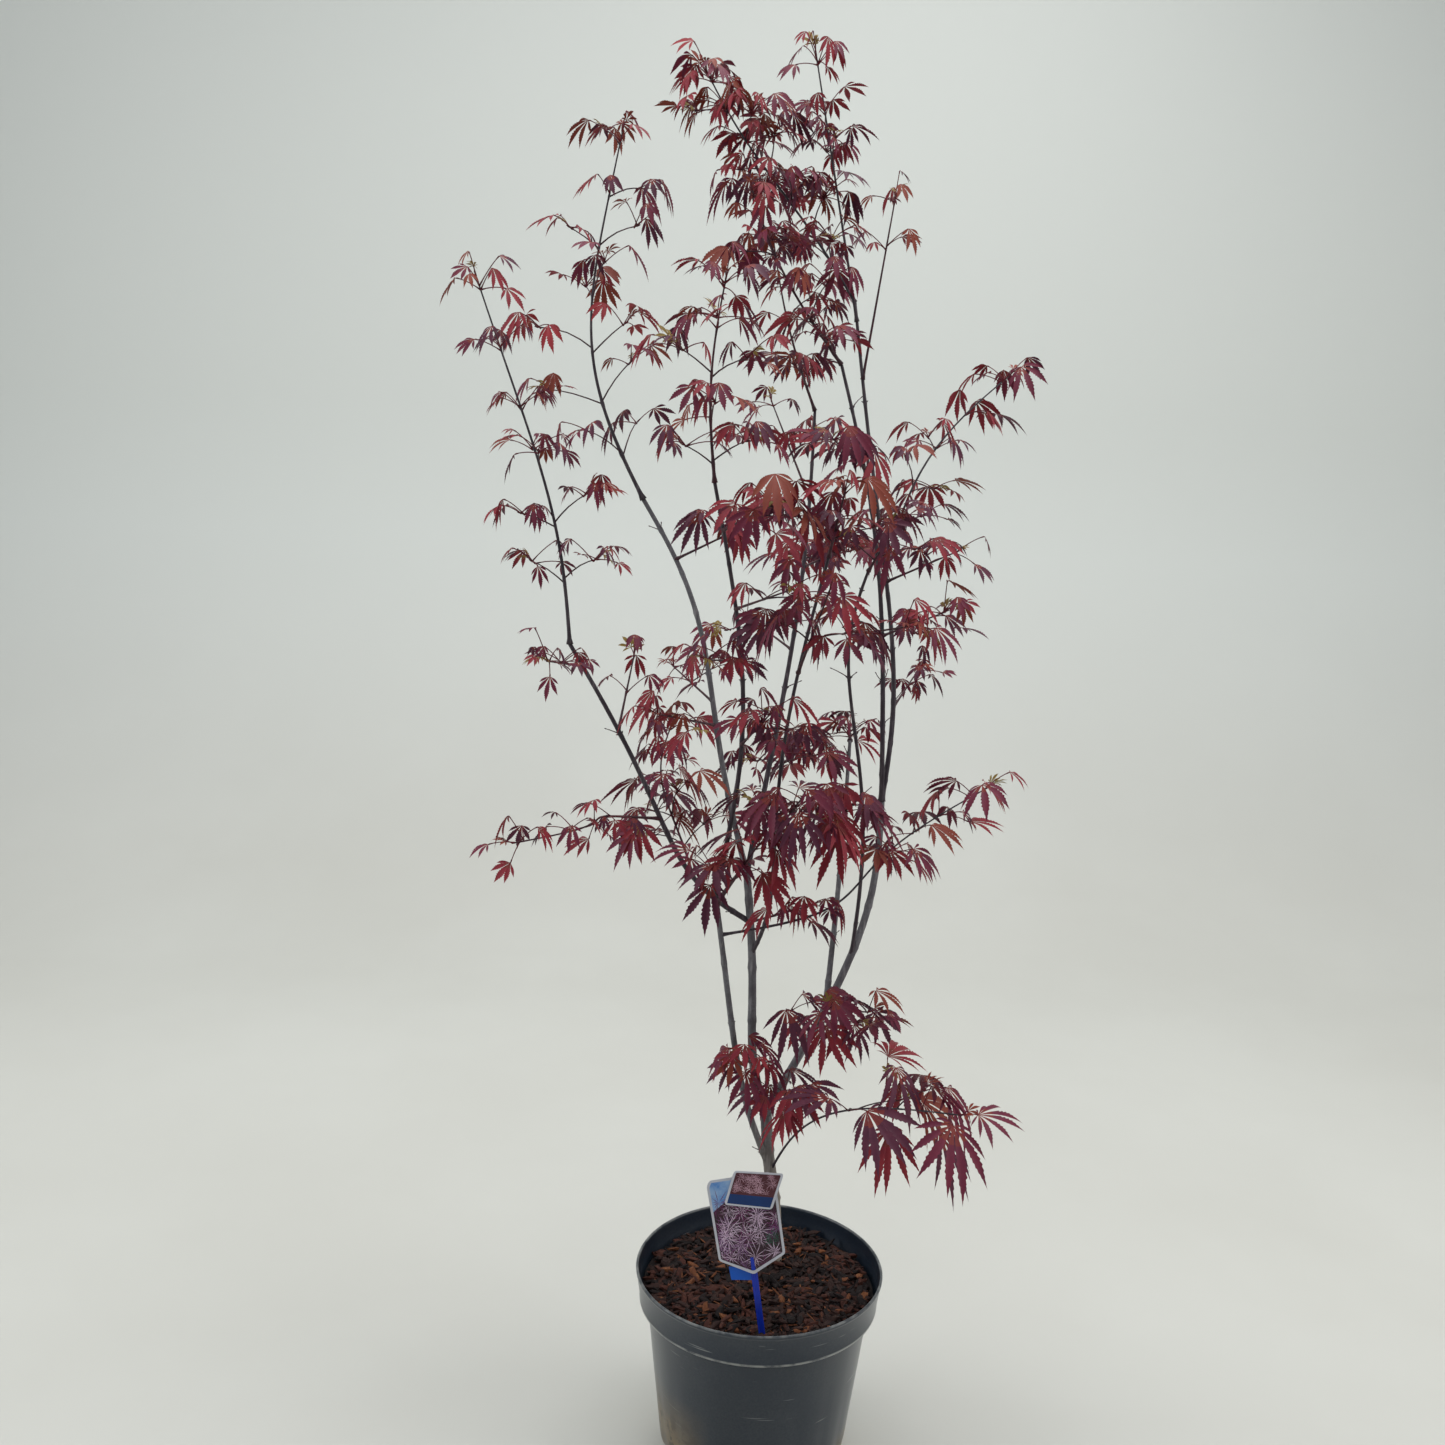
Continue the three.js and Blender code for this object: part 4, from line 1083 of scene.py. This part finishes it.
def addStake(pile):
    # a thin bar with a raised rib along each edge, pointed at its foot
    foot, top = Vector(label["stakeFoot"]), Vector(label["stakeTop"])
    heading = (top - foot).normalized()
    side = heading.cross(Vector((0, 1, 0))).normalized()
    front = heading.cross(side).normalized()
    half = label["stakeWidth"] / 2
    outline = ((-half, 0.8), (-half, -0.8), (half, -0.8), (half, 0.8), (half - 1.2, 0.8), (half - 1.5, 0.1),
               (-half + 1.5, 0.1), (-half + 1.2, 0.8))
    points = []
    for place, width in ((-0.06, 0.2), (-0.02, 0.9), (0, 1), (0.5, 1), (0.995, 1), (1, 0.9)):
        centre = foot.lerp(top, place)
        points += [centre + side * x * width + front * y for x, y in outline]
    count = len(outline)
    faces = [tuple(range(count)), tuple(reversed(range(5 * count, 6 * count)))]
    pile.add(points, faces + bridgeRings(6, count, inward=True))


def printMaterial(name, ground, patch, roughness=0.32):
    material, tree, shader = newMaterial(name, 0.35)
    dust = scuffed(tree, 0.2, 0.3)["Dust"]
    setInputs(tree, shader, {"Base Color": mottled(tree, ground, patch, 55.0, 0.6, 0.25),
                             "Roughness": spanNode(tree, dust, 0, 1, roughness, roughness + 0.25)})
    return material


addStake(stakePile)
addPrints()
for name, tint in labelTints.items():
    skin = printMaterial("label" + name, *tint)
    makePiece("label" + name, labelPiles[name], skin, ["label_board"], smooth=False)
for name, pile, skin in (("labelStake", stakePile, printMaterial("stakePlastic", "1636b4", "0f2a96", 0.3)),
                         ("labelTag", tagPile, printMaterial("tagPlastic", "0c5cc6", "0a4fb0", 0.35))):
    makePiece(name, pile, skin, ["label_stake"], smooth=False)
print("label made")


stage = {
    "floorColour": "d4d4cd", "floorPatch": "cac9c1", "wallColour": "dcdfda",
    "front": -7, "bend": 1.5, "radius": 1.3, "height": 5.0, "halfWidth": 7,
}


def addStage():
    # one sheet: the floor runs back and curves up into the wall
    bend, radius, half = stage["bend"], stage["radius"], stage["halfWidth"]
    angles = [math.pi / 2 * k / 24 for k in range(25)]
    profile = [(stage["front"], 0.0)]
    profile += [(bend + radius * math.sin(angle), radius * (1 - math.cos(angle))) for angle in angles]
    profile.append((bend + radius, stage["height"]))
    points = [(x, y, z - 0.0005) for y, z in profile for x in (-half, half)]
    faces = [(2 * i, 2 * i + 1, 2 * i + 3, 2 * i + 2) for i in range(len(profile) - 1)]
    mesh = bpy.data.meshes.new("floorSheet")
    mesh.from_pydata(points, [], faces)
    mesh.polygons.foreach_set("use_smooth", [True] * len(faces))
    material, tree, shader = newMaterial("floorPaper", 0.25)
    height = placeAxes(tree, objectPlace(tree))["Z"]
    paper = mottled(tree, stage["floorColour"], stage["floorPatch"], 1.3, 0.5, 0.05)
    wall = mixColour(tree, spanNode(tree, height, 0.1, 0.9), paper, hexColour(stage["wallColour"]))
    setInputs(tree, shader, {"Base Color": wall, "Roughness": 0.75})
    mesh.materials.append(material)
    linkedObject("floorSheet", mesh)


def addLight(name, place, target, size, power, tint):
    data = bpy.data.lights.new(name, "AREA")
    data.shape, data.size, data.energy, data.color = "SQUARE", size, power, tint
    lamp = linkedObject(name, data)
    lamp.location = place
    lamp.rotation_euler = (Vector(target) - Vector(place)).to_track_quat("-Z", "Y").to_euler()


addStage()
addLight("overheadLight", (0.2, 0.3, 3.4), (0, 0.2, 0.4), 3.0, 74, (1, 1, 1))
addLight("leftLight", (-2.8, -0.4, 1.9), (0, 0.1, 0.8), 1.8, 30, (0.96, 0.98, 1))
addLight("rightLight", (2.7, -0.6, 1.7), (0, 0.1, 0.7), 1.8, 22, (1, 0.98, 0.97))
scene.world = bpy.data.worlds.new("studio")
scene.world.use_nodes = True
tree = scene.world.node_tree
setInputs(tree, tree.nodes["Background"], {"Color": (0.9, 0.95, 1), "Strength": 0.36})
scene.view_settings.view_transform = "Standard"

view = {
    "place": (-0.067, -1.550, 1.166),    # metres
    "down": 10.48, "roll": 2.2,          # degrees
    "focal": 1445, "frameWidth": 1445,   # pixels
    "sensor": 36,                        # millimetres
}


def addCamera():
    data = bpy.data.cameras.new("camera")
    data.sensor_width = view["sensor"]
    data.lens = view["sensor"] * view["focal"] / view["frameWidth"]
    data.clip_end = 50
    scene.camera = linkedObject("camera", data)
    tilted = Matrix.Rotation(math.radians(90 - view["down"]), 4, "X")
    rolled = Matrix.Rotation(math.radians(view["roll"]), 4, "Z")
    scene.camera.matrix_world = Matrix.Translation(view["place"]) @ tilted @ rolled


addCamera()
bpy.context.view_layer.update()
